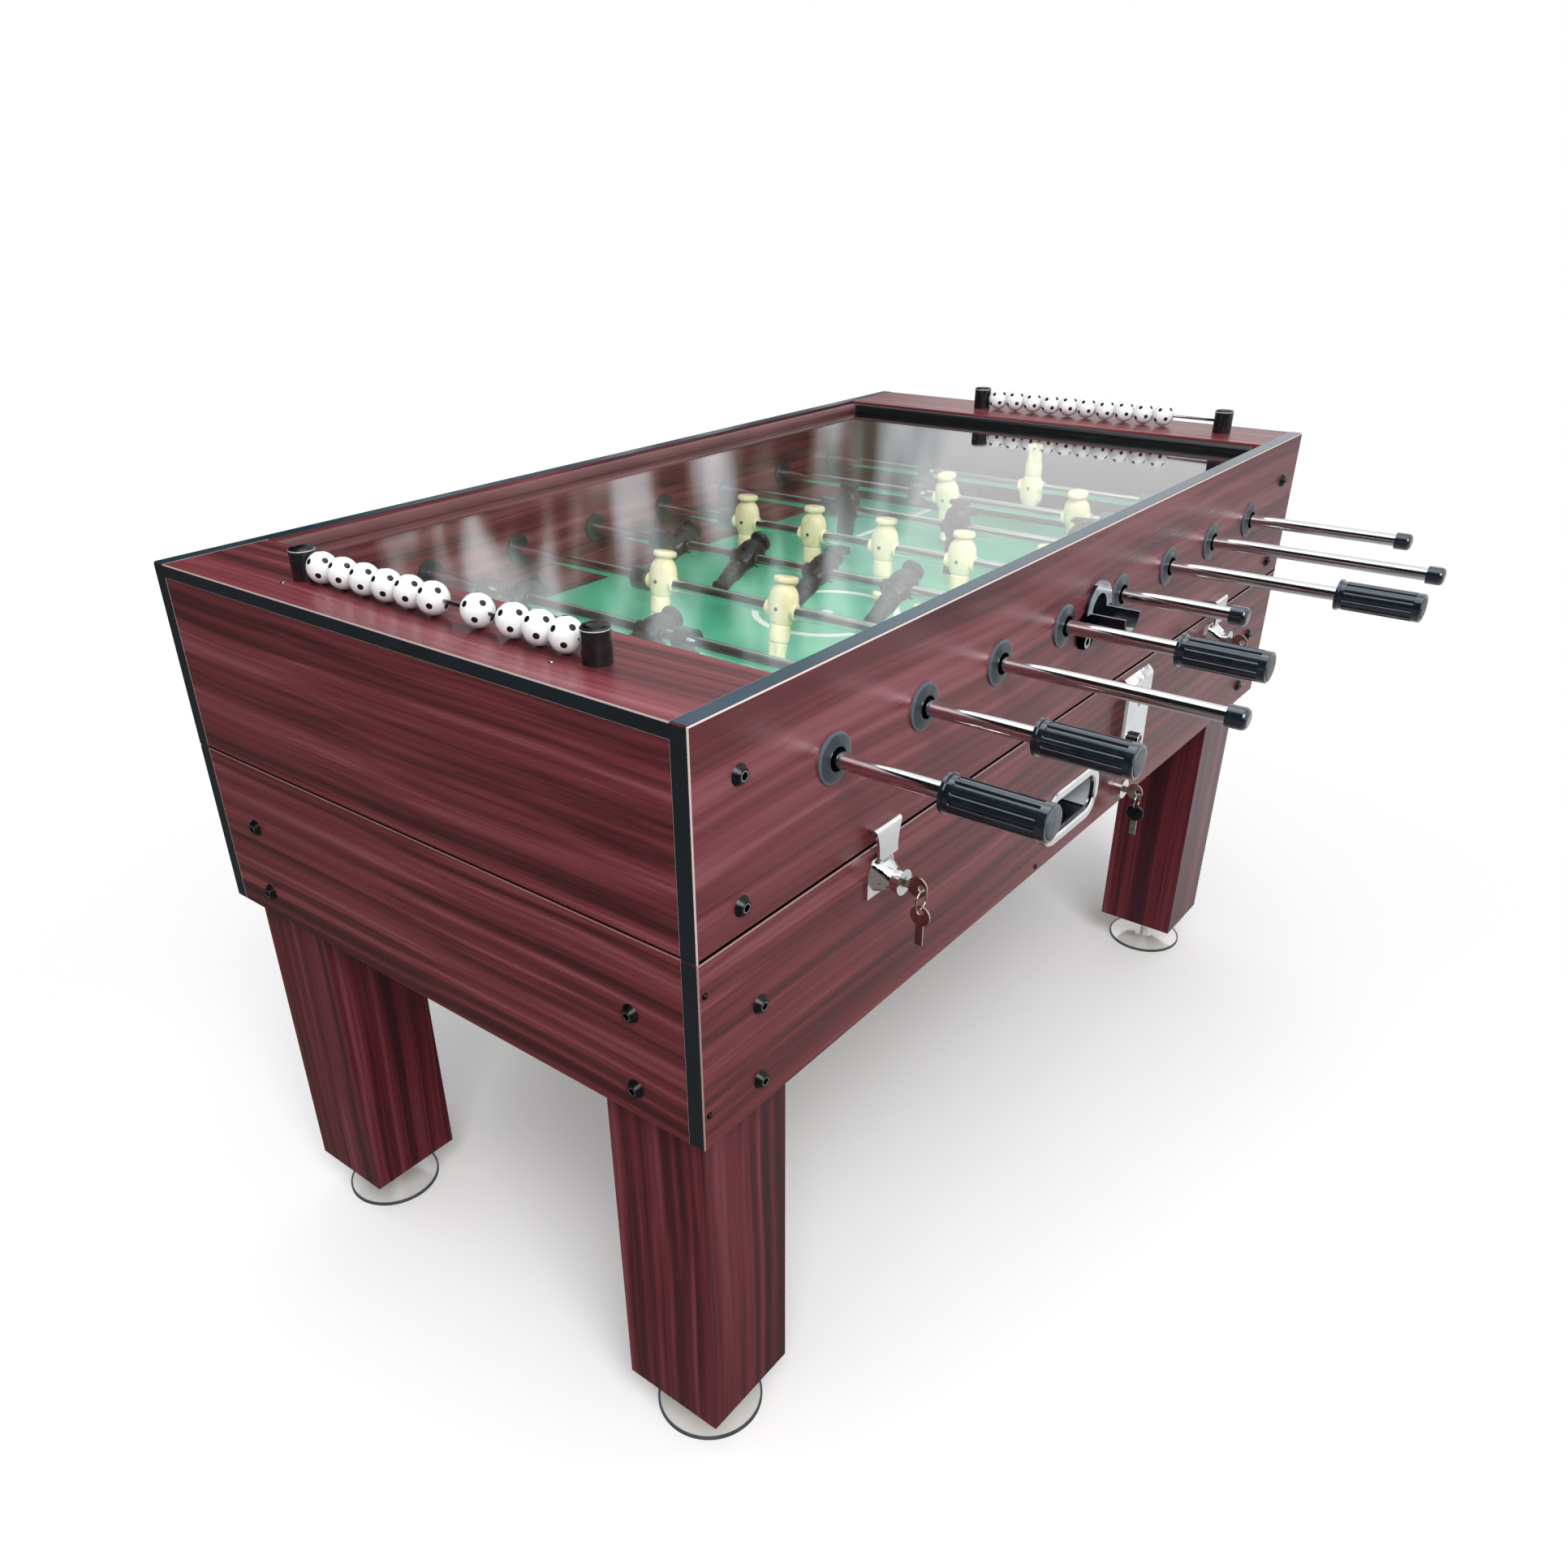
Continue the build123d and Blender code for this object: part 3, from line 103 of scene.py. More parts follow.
def mahogany(name, along, tones, arris_highlight):
    """Printed mahogany with the grain along one axis (0 X, 1 Y, 2 Z), a painted highlight on its arrises and
    its bare underside.
    """
    made, tree, shader, coords = blank(name)
    wander = add(tree, "ShaderNodeTexNoise", values={"Scale": 1 / WANDER, "Detail": 1.0},
                 links={"Vector": coords["Object"]})
    bend = add(tree, "ShaderNodeVectorMath", {"operation": "SCALE"}, {"Scale": BEND},
               {0: wander.outputs["Color"]})
    bent = add(tree, "ShaderNodeVectorMath", {"operation": "ADD"}, links={0: coords["Object"], 1: bend})
    total = None
    for width, length, share in GRAIN:
        stretch = [1 / width] * 3
        stretch[along] = 1 / length
        scaled = add(tree, "ShaderNodeVectorMath", {"operation": "MULTIPLY"}, {1: stretch}, {0: bent})
        layer = add(tree, "ShaderNodeTexNoise", values={"Scale": 1.0, "Detail": 2.0, "Roughness": 0.5},
                    links={"Vector": scaled})
        part = add(tree, "ShaderNodeMath", {"operation": "MULTIPLY"}, {1: share}, {0: layer})
        if total:
            part = add(tree, "ShaderNodeMath", {"operation": "ADD"}, links={0: total, 1: part})
        total = part
    tone = add(tree, "ShaderNodeValToRGB", links={"Fac": total}, stops=tones)
    direction = add(tree, "ShaderNodeSeparateXYZ", links={0: coords["Normal"]}).outputs
    size = add(tree, "ShaderNodeVectorMath", {"operation": "ABSOLUTE"}, links={0: coords["Normal"]})
    facing = add(tree, "ShaderNodeSeparateXYZ", links={0: size}).outputs
    widest = add(tree, "ShaderNodeMath", {"operation": "MAXIMUM"}, links={0: facing[0], 1: facing[1]})
    widest = add(tree, "ShaderNodeMath", {"operation": "MAXIMUM"}, links={0: widest, 1: facing[2]})
    # Faces slanted across an arris take the arris colour, a painted highlight.
    slanted = add(tree, "ShaderNodeMath", {"operation": "LESS_THAN"}, {1: SQUARE_ON}, {0: widest})
    shown = add(tree, "ShaderNodeMix", {"data_type": "RGBA"}, {7: linear(arris_highlight)},
                {0: slanted, 6: tone})
    below = add(tree, "ShaderNodeMath", {"operation": "LESS_THAN"}, {1: -SQUARE_ON}, {0: direction[2]})
    bare = add(tree, "ShaderNodeValToRGB", links={"Fac": layer}, stops=BARE_TONES)
    shown = add(tree, "ShaderNodeMix", {"data_type": "RGBA"},
                links={0: below, 6: shown.outputs[2], 7: bare})
    tree.links.new(shown.outputs[2], shader.inputs["Base Color"])
    shader.inputs["Specular IOR Level"].default_value = 0.55
    shader.inputs["Specular Tint"].default_value = linear("EDBCC4")
    satin = add(tree, "ShaderNodeMapRange", values=NOISE_MIDDLE | {"To Min": 0.25, "To Max": 0.36},
                links={"Value": layer})
    tree.links.new(satin.outputs[0], shader.inputs["Roughness"])
    pores = add(tree, "ShaderNodeBump", values={"Strength": 0.3, "Distance": PORE_DEPTH},
                links={"Height": layer})
    tree.links.new(pores.outputs[0], shader.inputs["Normal"])
    return made


lower_low, lower_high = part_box("base_side_panels")
seam = lower_high.z
for box, long_arris_highlight, end_arris_highlight, sides, ends in (
        ("play box", "D2C4C0", "A99A99", ["side_panels"], ["end_panels", "top_boards"]),
        ("lower box", "A58B87", "A58B87", ["base_side_panels"], ["base_end_panels"])):
    dress(mahogany(f"mahogany laminate along the {box}", 0, PANEL_TONES, long_arris_highlight), *sides)
    dress(mahogany(f"mahogany laminate across the {box}", 1, PANEL_TONES, end_arris_highlight), *ends)
dress(mahogany("mahogany laminate, grain upright", 2, LEG_TONES, "532A2F"), "legs")

# Edge banding: thin black ABS glued on the sawn ends of the long panels, on the outer edges of the end boards
# and on the lower edges of the play box, where it shows as a black line. The top edges have a smoother one
# in slate. A fine pale line where a band meets the laminate is partly glue and partly a painted highlight.
BAND = 0.0006
PALE_LINE = 0.0007
ARRIS = 0.0012
SEAM_LINE = 0.0028
BOARD_WIDTH = 0.127


def mottle(tree, coords, patch, colour, tint, detail=2.0):
    """A drift between two colours over patches of a given size; returns the noise and the colour."""
    patches = add(tree, "ShaderNodeTexNoise", values={"Scale": 1 / patch, "Detail": detail},
                  links={"Vector": coords["Object"]})
    return patches, add(tree, "ShaderNodeValToRGB", links={"Fac": patches},
                        stops=((0.35, colour), (0.65, tint)))


def finish(name, colour, tint, patch, roughness, metallic=0.0, coat=0.0, relief=0.0, specular=0.5,
           sheen="FFFFFF"):
    """A material that drifts between two colours, with its polish, its relief and the tint of its gloss."""
    made, tree, shader, coords = blank(name, metallic, coat)
    shader.inputs["Specular IOR Level"].default_value = specular
    shader.inputs["Specular Tint"].default_value = linear(sheen)
    patches, tone = mottle(tree, coords, patch, colour, tint, 3.0)
    tree.links.new(tone.outputs[0], shader.inputs["Base Color"])
    spread = {"To Min": 0.85 * roughness, "To Max": 1.15 * roughness}
    polish = add(tree, "ShaderNodeMapRange", values=NOISE_MIDDLE | spread, links={"Value": patches})
    tree.links.new(polish.outputs[0], shader.inputs["Roughness"])
    if relief:
        bump = add(tree, "ShaderNodeBump", values={"Distance": relief}, links={"Height": patches})
        tree.links.new(bump.outputs[0], shader.inputs["Normal"])
    return made


def slab(shape, low, high):
    """Add a box between two corners to a bmesh."""
    low, high = Vector(low), Vector(high)
    size = Matrix.Diagonal((high - low).to_4d())
    bmesh.ops.create_cube(shape, size=1, matrix=Matrix.Translation((low + high) / 2) @ size)


def piece(name, shape, material, body, smooth=False):
    """Make a bmesh a finished piece that rides a body."""
    bmesh.ops.recalc_face_normals(shape, faces=shape.faces)
    mesh = bpy.data.meshes.new(name)
    for face in shape.faces:
        face.smooth = smooth
    shape.to_mesh(mesh)
    shape.free()
    made = bpy.data.objects.new(name, mesh)
    bpy.context.scene.collection.objects.link(made)
    made.data.materials.append(material)
    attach(made, body)
    return made


band_black = finish("black ABS edge band", "101A20", "15212A", 0.05, 0.35)
band_slate = finish("smooth slate edge band", "1C3440", "223C4A", 0.15, 0.2, specular=1.0, sheen="9CC8E0")
seam_black = finish("black seam edge", "040506", "08090A", 0.02, 0.6, specular=0.0)
# Pale lines along the band edges: partly glue, partly a painted highlight.
pale_glue_and_highlight = finish("pale glue line and painted highlight", "B0A19E", "9F8E8A", 0.02, 0.5)
panel_low, panel_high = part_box("side_panels")
board_low, board_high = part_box("top_boards")
inner_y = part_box("end_panels")[1].y
face_y = panel_high.y - ARRIS
end_x = panel_high.x
over_x = end_x + BAND
line_x = end_x + BAND / 2
for body, low_z, high_z in (("play_box", panel_low.z, panel_high.z), ("base", lower_low.z, lower_high.z)):
    bands = bmesh.new()
    lines = bmesh.new()
    for sx in (-1, 1):
        for sy in (-1, 1):
            slab(bands, (sx * end_x, sy * inner_y, low_z + ARRIS), (sx * over_x, sy * face_y, high_z - ARRIS))
            slab(lines, (sx * end_x, sy * (inner_y - PALE_LINE), low_z), (sx * line_x, sy * inner_y, high_z))
    if body == "base":
        for sx in (-1, 1):
            slab(lines, (sx * end_x, -inner_y, high_z - PALE_LINE), (sx * line_x, inner_y, high_z))
    else:
        tops = bmesh.new()
        seams = bmesh.new()
        for sy in (-1, 1):
            slab(tops, (-end_x + ARRIS, sy * inner_y, high_z), (end_x - ARRIS, sy * face_y, high_z + BAND))
            slab(seams, (-end_x + ARRIS, sy * panel_high.y, low_z + ARRIS),
                 (end_x - ARRIS, sy * (panel_high.y + BAND / 2), low_z + ARRIS + SEAM_LINE))
        for sx in (-1, 1):
            edge_low, edge_high = board_low.z + ARRIS, board_high.z - ARRIS
            slab(bands, (sx * end_x, -inner_y, edge_low), (sx * over_x, inner_y, edge_high))
            slab(lines, (sx * end_x, -inner_y, edge_low - PALE_LINE), (sx * line_x, inner_y, edge_low))
            for sy in (-1, 1):
                slab(lines, (sx * (end_x - BOARD_WIDTH), sy * (inner_y - PALE_LINE), high_z),
                     (sx * end_x, sy * inner_y, high_z + BAND / 2))
            slab(seams, (sx * end_x, -inner_y, low_z + ARRIS),
                 (sx * line_x, inner_y, low_z + ARRIS + SEAM_LINE / 2))
        piece("top_bands", tops, band_slate, body)
        piece("seam_lines", seams, seam_black, body)
    piece(f"edge_bands_{body}", bands, band_black, body)
    piece(f"glue_and_highlight_lines_{body}", lines, pale_glue_and_highlight, body)

# Inside boards: the bottom board of raw chipboard, with its flakes showing, and the goal walls with their
# corner blocks, painted dark. All are cut flat and set between the panels.
dress(finish("raw chipboard", "A48A66", "7A6244", 0.004, 0.8, relief=0.0004), "base_floor")
dress(finish("dark painted board", "241516", "301E1F", 0.03, 0.45), "goal_frames")

# Bolts: black-oxide button-head screws through the panels of both boxes. The rim of each hexagon socket
# is bright metal, partly worn and partly a painted highlight, and the socket is a black disc of painted
# shade.
BOLT_HEAD = 0.0055
SOCKET = 0.0034
SOCKET_RIM = 0.0008
RIM_PROUD = 0.0003
SOCKET_PLATE = 0.0004
LEG_BOLT_DROPS = (0.084, 0.170)
LEG_BOLT_FROM_END = 0.082
LEG_BOLT_FROM_SIDE = 0.083
CABINET_BOLT_FROM_END = 0.059
CABINET_BOLT_BELOW_TOP = 0.060
CABINET_BOLT_ABOVE_SEAM = 0.030
oxide_black = finish("black oxide steel", "121315", "1D1F22", 0.004, 0.26, metallic=0.5)
dress(oxide_black, "leg_bolts", "cabinet_bolts")
worn_steel = finish("worn bright steel", "C2C4C6", "9A9DA0", 0.002, 0.22, metallic=1.0)
shadow_black = finish("shadowed recess", "040405", "070708", 0.002, 0.8, specular=0.0)


def facing_out(point, outward):
    """Where a small fitting sits: at a point, with its own Z turned outward."""
    return Matrix.Translation(point) @ Vector(outward).to_track_quat("Z", "Y").to_matrix().to_4x4()


def turned(shape, place, outline, steps=32):
    """Add a turned solid: an outline of (radius, height) points spun about the Z of its place."""
    solid = bmesh.new()
    points = [solid.verts.new((radius, 0, height)) for radius, height in outline]
    edges = [solid.edges.new(pair) for pair in zip(points, points[1:])]
    bmesh.ops.spin(solid, geom=points + edges, cent=(0, 0, 0), axis=(0, 0, 1), angle=2 * pi, steps=steps,
                   use_merge=True, use_duplicate=False)
    bmesh.ops.remove_doubles(solid, verts=solid.verts, dist=1e-6)
    bmesh.ops.transform(solid, matrix=place, verts=solid.verts)
    mesh = bpy.data.meshes.new("turned solid")
    solid.to_mesh(mesh)
    solid.free()
    shape.from_mesh(mesh)
    bpy.data.meshes.remove(mesh)


def ring(shape, place, radius, width, height, steps=32):
    """Add a flat ring of a given middle radius, width and height."""
    low, high = radius - width / 2, radius + width / 2
    turned(shape, place, ((low, 0), (high, 0), (high, height), (low, height), (low, 0)), steps)


bolt_places = {"base": [], "play_box": []}
for sx in (-1, 1):
    for sy in (-1, 1):
        head_x, head_y = sx * (end_x + BOLT_HEAD), sy * (panel_high.y + BOLT_HEAD)
        leg_x, leg_y = sx * (end_x - LEG_BOLT_FROM_END), sy * (panel_high.y - LEG_BOLT_FROM_SIDE)
        for drop in LEG_BOLT_DROPS:
            bolt_places["base"].append(((leg_x, head_y, seam - drop), (0, sy, 0)))
            bolt_places["base"].append(((head_x, leg_y, seam - drop), (sx, 0, 0)))
        for z in (panel_high.z - CABINET_BOLT_BELOW_TOP, panel_low.z + CABINET_BOLT_ABOVE_SEAM):
            bolt_places["play_box"].append(((sx * (end_x - CABINET_BOLT_FROM_END), head_y, z), (0, sy, 0)))
for body, places in bolt_places.items():
    rims = bmesh.new()
    sockets = bmesh.new()
    for point, outward in places:
        place = facing_out(point, outward)
        # A bright ring, partly a painted highlight, round a black hexagon of painted shade.
        ring(rims, place, SOCKET + SOCKET_RIM, SOCKET_RIM, RIM_PROUD, 18)
        bmesh.ops.create_cone(sockets, cap_ends=True, segments=6, radius1=SOCKET, radius2=SOCKET,
                              depth=SOCKET_PLATE, matrix=place)
    piece(f"socket_rims_{body}", rims, worn_steel, body)
    piece(f"bolt_sockets_{body}", sockets, shadow_black, body)

# Levelling feet: spun steel saucers on threaded studs, plated bright. They are drawn white, a painted
# reflection, and the grey line round the rolled rim is a painted reflection too.
FOOT_DISC = 0.061
FOOT_RIM_WIDTH = 0.0023
FOOT_RIM_PROUD = 0.0005
FOOT_RIM_LOW = 0.0005
FOOT_RIM_HEIGHT = 0.0039
# The white of the saucers is a painted reflection of the pale surround.
dress(finish("bright plating drawn white, a painted reflection", "FFFFFF", "F8F8F6", 0.05, 0.12, metallic=0.3), "levelling_feet")
foot_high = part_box("levelling_feet")[1]
foot_reflection_lines = bmesh.new()
for sx in (-1, 1):
    for sy in (-1, 1):
        x, y = sx * (foot_high.x - FOOT_DISC), sy * (foot_high.y - FOOT_DISC)
        stand = Matrix.Translation((x, y, FOOT_RIM_LOW))
        ring(foot_reflection_lines, stand, FOOT_DISC + FOOT_RIM_PROUD - FOOT_RIM_WIDTH / 2, FOOT_RIM_WIDTH,
             FOOT_RIM_HEIGHT, 64)
# The grey rim line is a painted reflection.
piece("foot_rim_reflections", foot_reflection_lines, finish("grey rim line, a painted reflection", "565C60", "484D51", 0.02, 0.4), "base")

# Panel screws: small black pan heads that hold the ramps and blocks behind the front panel,
# and two bright ones that hold the near end board down.
PAN_HEAD = ((0, 0.0022), (0.002, 0.002), (0.0036, 0), (0, 0))
LOW_HEAD = ((0, 0.0012), (0.002, 0.0009), (0.0034, 0), (0, 0))
PANEL_SCREWS = ((-0.707, 0.652), (-0.707, 0.522), (-0.075, 0.493))
BOARD_SCREWS = ((-0.677, -0.196), (-0.677, 0.196))
screws = bmesh.new()
for x, z in PANEL_SCREWS:
    turned(screws, facing_out((x, panel_low.y, z), (0, -1, 0)), PAN_HEAD, 16)
piece("panel_screws", screws, oxide_black, "base", smooth=True)
screws = bmesh.new()
for x, y in BOARD_SCREWS:
    turned(screws, facing_out((x, y, board_high.z), (0, 0, 1)), LOW_HEAD, 20)
piece("board_screws", screws, worn_steel, "play_box", smooth=True)

# Ball return: a chromed die-cast frame round a black moulded pocket. The wall of the pocket that looks back
# at the near end is drawn bright, a painted reflection. The ramps behind it and the cash box are galvanised
# sheet.
REFLECTING_WALL = -0.4
SCUFF = 1 / 60


def two_tone(tree, shader, mask, plain, masked, roughness):
    """Colour a shader with one tone and, where a mask says so, with another."""
    shown = add(tree, "ShaderNodeMix", {"data_type": "RGBA"}, links={0: mask, 6: plain, 7: masked})
    tree.links.new(shown.outputs[2], shader.inputs["Base Color"])
    shader.inputs["Roughness"].default_value = roughness


cast_chrome = finish("chromed casting", "F4F5F6", "E6E9EC", 0.025, 0.08, metallic=1.0, relief=0.0003)
dress(cast_chrome, "ball_return_bezel")
pocket, tree, shader, coords = blank("black pocket with a painted reflection on one wall", metallic=0.3)
direction = add(tree, "ShaderNodeSeparateXYZ", links={0: coords["Normal"]}).outputs
# Walls that face the near end take a bright tone: a painted reflection.
wall = add(tree, "ShaderNodeMath", {"operation": "LESS_THAN"}, {1: REFLECTING_WALL}, {0: direction[0]})
two_tone(tree, shader, wall, mottle(tree, coords, SCUFF, "090A0B", "121416")[1],
         mottle(tree, coords, SCUFF, "E2E5E8", "C9CED3")[1], 0.25)
dress(pocket, "ball_return_cup")
dress(finish("galvanised sheet", "A6A8AA", "84878A", 0.012, 0.42, metallic=1.0), "ball_ramps", "coin_box")

# Coin chute cover, locks and latches: chromed castings and pressings. The coin button is black steel with a
# bright rim pressed on.
BUTTON_RIM = 0.0074
BUTTON_RIM_WIDTH = 0.0022
BUTTON_RIM_PROUD = 0.0004
chrome = finish("polished chrome", "E4E5E7", "D6D9DD", 0.03, 0.055, metallic=1.0)
dress(cast_chrome, "coin_plate", "lock_barrels", "latch_plates", "latch_catches")
dress(oxide_black, "coin_button")
button_low, button_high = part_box("coin_button")
button_middle = (button_low + button_high) / 2
rim = bmesh.new()
ring(rim, facing_out((button_middle.x, button_low.y, button_middle.z), (0, -1, 0)), BUTTON_RIM,
     BUTTON_RIM_WIDTH, BUTTON_RIM_PROUD)
piece("button_rim", rim, chrome, "coin_button")

# Keys and hinges: stamped nickel-plated steel, with the second keys on split rings. The key that hangs from
# the coin lock has a black cap over its bow.
KEY_CAP = 0.012
KEY_CAP_SIDE = ((0, 0.0026), (KEY_CAP - 0.002, 0.0024), (KEY_CAP, 0.0012))
BOW_ABOVE_TIP = 0.033
nickel = finish("nickel-plated steel", "CCC8C0", "B5AFA4", 0.006, 0.16, metallic=1.0)
dress(nickel, "latch_key_left", "latch_key_right", "coin_key", "latch_spare_left", "coin_spare")
dress(nickel, "hinge_base_leaves", "hinge_lid_leaves")
spare_low, spare_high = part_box("coin_spare")
bow_x, bow_y = (spare_low.x + spare_high.x) / 2, (spare_low.y + spare_high.y) / 2
head = bmesh.new()
turned(head, facing_out((bow_x, bow_y, spare_low.z + BOW_ABOVE_TIP), (1, 0, 0)),
       [(radius, -height) for radius, height in KEY_CAP_SIDE] + list(reversed(KEY_CAP_SIDE)))
piece("key_head", head, oxide_black, "coin_spare", smooth=True)

# Pitch: chipboard faced on top with green sheet, bare below. The centre circle, the spot and the goal areas
# are printed white.
LINE = 0.0095
CIRCLE = 0.097
GOAL_AREAS = ((0.23, 0.197), (0.07, 0.13))  # reach from the goal wall, half the width
SHEET_SIDE = 0.5
DRIFT = 0.08
FLAKE = 0.004
pitch_board, tree, shader, coords = blank("green sheet on chipboard")
direction = add(tree, "ShaderNodeSeparateXYZ", links={0: coords["Normal"]}).outputs
sheet = add(tree, "ShaderNodeMath", {"operation": "GREATER_THAN"}, {1: SHEET_SIDE}, {0: direction[2]})
two_tone(tree, shader, sheet, mottle(tree, coords, FLAKE, "A48A66", "7A6244")[1],
         mottle(tree, coords, DRIFT, "3CB48E", "52C19E", 3.0)[1], 0.3)
dress(pitch_board, "playfield")
line_white = finish("white pitch paint", "F4F6F1", "E6EAE4", 0.01, 0.4)
pitch_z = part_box("playfield")[1].z
goal_x = end_x - BOARD_WIDTH
lines = bmesh.new()
ring(lines, Matrix.Translation((0, 0, pitch_z)), CIRCLE, LINE, BAND, 64)
ring(lines, Matrix.Translation((0, 0, pitch_z)), LINE / 2, LINE, BAND, 24)
for s in (-1, 1):
    for reach, half in GOAL_AREAS:
        front = goal_x - reach
        slab(lines, (s * (front - LINE), -half, pitch_z), (s * front, half, pitch_z + BAND))
        for sy in (-1, 1):
            slab(lines, (s * front, sy * half, pitch_z), (s * goal_x, sy * (half - LINE), pitch_z + BAND))
piece("pitch_lines", lines, line_white, "play_box")

# Glass: a loose pane of clear float glass, let into grooves and held down by narrow beading, which is
# stained along the sides and black along the end boards.
BEADING = 0.0135
STAIN = 1 / 12
glass, tree, shader, coords = blank("clear float glass")
shader.inputs["Base Color"].default_value = linear("F6F9F7")
shader.inputs["Roughness"].default_value = 0.0
shader.inputs["IOR"].default_value = 1.5
shader.inputs["Transmission Weight"].default_value = 1.0
path = add(tree, "ShaderNodeLightPath")
through = add(tree, "ShaderNodeBsdfTransparent")
pane = add(tree, "ShaderNodeMixShader", links={0: path.outputs["Is Shadow Ray"], 1: shader, 2: through})
tree.links.new(pane.outputs[0], tree.nodes["Material Output"].inputs["Surface"])
dress(glass, "glass")
beading, tree, shader, coords = blank("stained and black beading")
spot = add(tree, "ShaderNodeSeparateXYZ", links={0: coords["Object"]}).outputs
across = add(tree, "ShaderNodeMath", {"operation": "ABSOLUTE"}, links={0: spot[1]})
side = add(tree, "ShaderNodeMath", {"operation": "GREATER_THAN"}, {1: inner_y - BEADING}, {0: across})
stained = mottle(tree, coords, STAIN, "583032", "663C3D")[1]
shown = add(tree, "ShaderNodeMix", {"data_type": "RGBA"}, {6: linear("121416")}, {0: side, 7: stained})
tree.links.new(shown.outputs[2], shader.inputs["Base Color"])
shader.inputs["Roughness"].default_value = 0.25
dress(beading, "glass_strips")

# Rods: steel tube, ground and polished. Each runs through a bush in either side panel and carries its men,
# bumpers, grip and end cap.
ROD_COUNT = 8
ROD_NUMBERS = range(1, ROD_COUNT + 1)
bars = [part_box(f"rod_{n}_bar") for n in ROD_NUMBERS]
rod_x = [(low.x + high.x) / 2 for low, high in bars]
rod_z = (bars[0][0].z + bars[0][1].z) / 2
rod_gap = rod_x[1] - rod_x[0]
dress(finish("ground and polished steel", "E2E4E6", "D4D7DA", 0.04, 0.13, metallic=1.0),
      *[f"rod_{n}_bar" for n in ROD_NUMBERS])

# Rod bushes: turned black nylon. The flange is drawn darker at the hub, painted shade round the rod, and grey
# towards its rim, a painted highlight. A matt black ring on the hub is painted shade for the open gap round
# the rod.
FLANGE_R = 0.0245
FLANGE_SHADE_AND_HIGHLIGHT = ((0.48, "1A2228"), (0.55, "2A343B"), (0.88, "2E3940"), (0.94, "56636C"))
GAP_RING = 0.0099
GAP_RING_WIDTH = 0.0034
GAP_RING_PROUD = 0.0003
bushing, tree, shader, coords = blank("black nylon, worn towards the rim")
spot = add(tree, "ShaderNodeSeparateXYZ", links={0: coords["Object"]}).outputs
cell = add(tree, "ShaderNodeMath", {"operation": "MULTIPLY_ADD"}, {1: 1 / rod_gap, 2: ROD_COUNT / 2},
           {0: spot[0]})
inside = add(tree, "ShaderNodeMath", {"operation": "FRACT"}, links={0: cell})
aside = add(tree, "ShaderNodeMath", {"operation": "MULTIPLY_ADD"}, {1: rod_gap, 2: -rod_gap / 2}, {0: inside})
rise = add(tree, "ShaderNodeMath", {"operation": "SUBTRACT"}, {1: rod_z}, {0: spot[2]})
corner = add(tree, "ShaderNodeCombineXYZ", links={0: aside, 1: rise})
radius = add(tree, "ShaderNodeVectorMath", {"operation": "LENGTH"}, links={0: corner})
share = add(tree, "ShaderNodeMath", {"operation": "DIVIDE"}, {1: FLANGE_R}, {0: radius.outputs["Value"]})
# Darker near the rod is painted shade; the grey rim is a painted highlight.
tone = add(tree, "ShaderNodeValToRGB", links={"Fac": share}, stops=FLANGE_SHADE_AND_HIGHLIGHT)
tree.links.new(tone.outputs[0], shader.inputs["Base Color"])
shader.inputs["Roughness"].default_value = 0.3
dress(bushing, "rod_bushings")
bush_low, bush_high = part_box("rod_bushings")
# Black rings of painted shade for the gap round each rod.
gaps = bmesh.new()
for x in rod_x:
    for y, outward in ((bush_low.y, -1), (bush_high.y, 1)):
        hub = facing_out((x, y, rod_z), (0, outward, 0))
        ring(gaps, hub, GAP_RING, GAP_RING_WIDTH, GAP_RING_PROUD)
piece("rod_gaps", gaps, shadow_black, "play_box")

# Men: moulded in one piece round the rod and pinned through the chest, with a flat hat, a barrel chest,
# shorts, straight legs and a small flared foot. One team is cream and the other black.
MM = 0.001
MAN_RINGS = ((-66, 19, 20.5), (-64, 25, 23.5), (-60, 21, 23), (-55, 17.5, 22.5), (-48, 18, 23.5),
             (-40, 20, 25.5), (-38.6, 19.5, 25), (-38, 16.5, 21.5), (-37.4, 21, 26), (-35, 22.5, 28),
             (-28, 23, 28.5), (-19, 22.5, 28), (-17.6, 22, 27.5), (-17, 18.5, 23.5), (-16.4, 21.5, 27),
             (-14, 23.5, 30), (-9, 25.5, 34.5), (-2, 28, 40), (6, 29, 41.5), (14, 29, 40.5),
             (20, 28, 37.5), (24.5, 25, 31), (27.5, 21.5, 24), (29.4, 19.5, 20.5), (30.6, 19.5, 20),
             (31.2, 25, 25), (31.8, 29.5, 29.5), (33.5, 30.5, 30.5), (36.5, 30.5, 30.5),
             (38.5, 28, 28), (39, 22, 22))  # height, depth, width in millimetres
MAN_SIDES = 16
LEG_SPLIT = (-58, -39, 0.72)
HALF_MAN = 0.019
BOSS = ((0.0081, 0), (0.0096, 0), (0.0096, 0.0048), (0.0089, 0.0056), (0.0081, 0.0056), (0.0081, 0))
BOSS_Y = 0.016
PIN = ((0, 0.0012), (0.002, 0.001), (0.0026, 0), (0, 0))
PIN_X, PIN_Z = 0.0136, 0.001
REST_TURNS = (40, 78, 12, 64, 5, 8, -8, 180)
MEN_COUNTS = (1, 2, 3, 5, 5, 3, 2, 1)
BLACK_RODS = (1, 2, 4, 6)
men_cream = finish("cream moulded plastic", "FFF4CE", "FBEAB8", 0.012, 0.3)
men_black = finish("black moulded plastic", "121416", "1E2124", 0.012, 0.28)


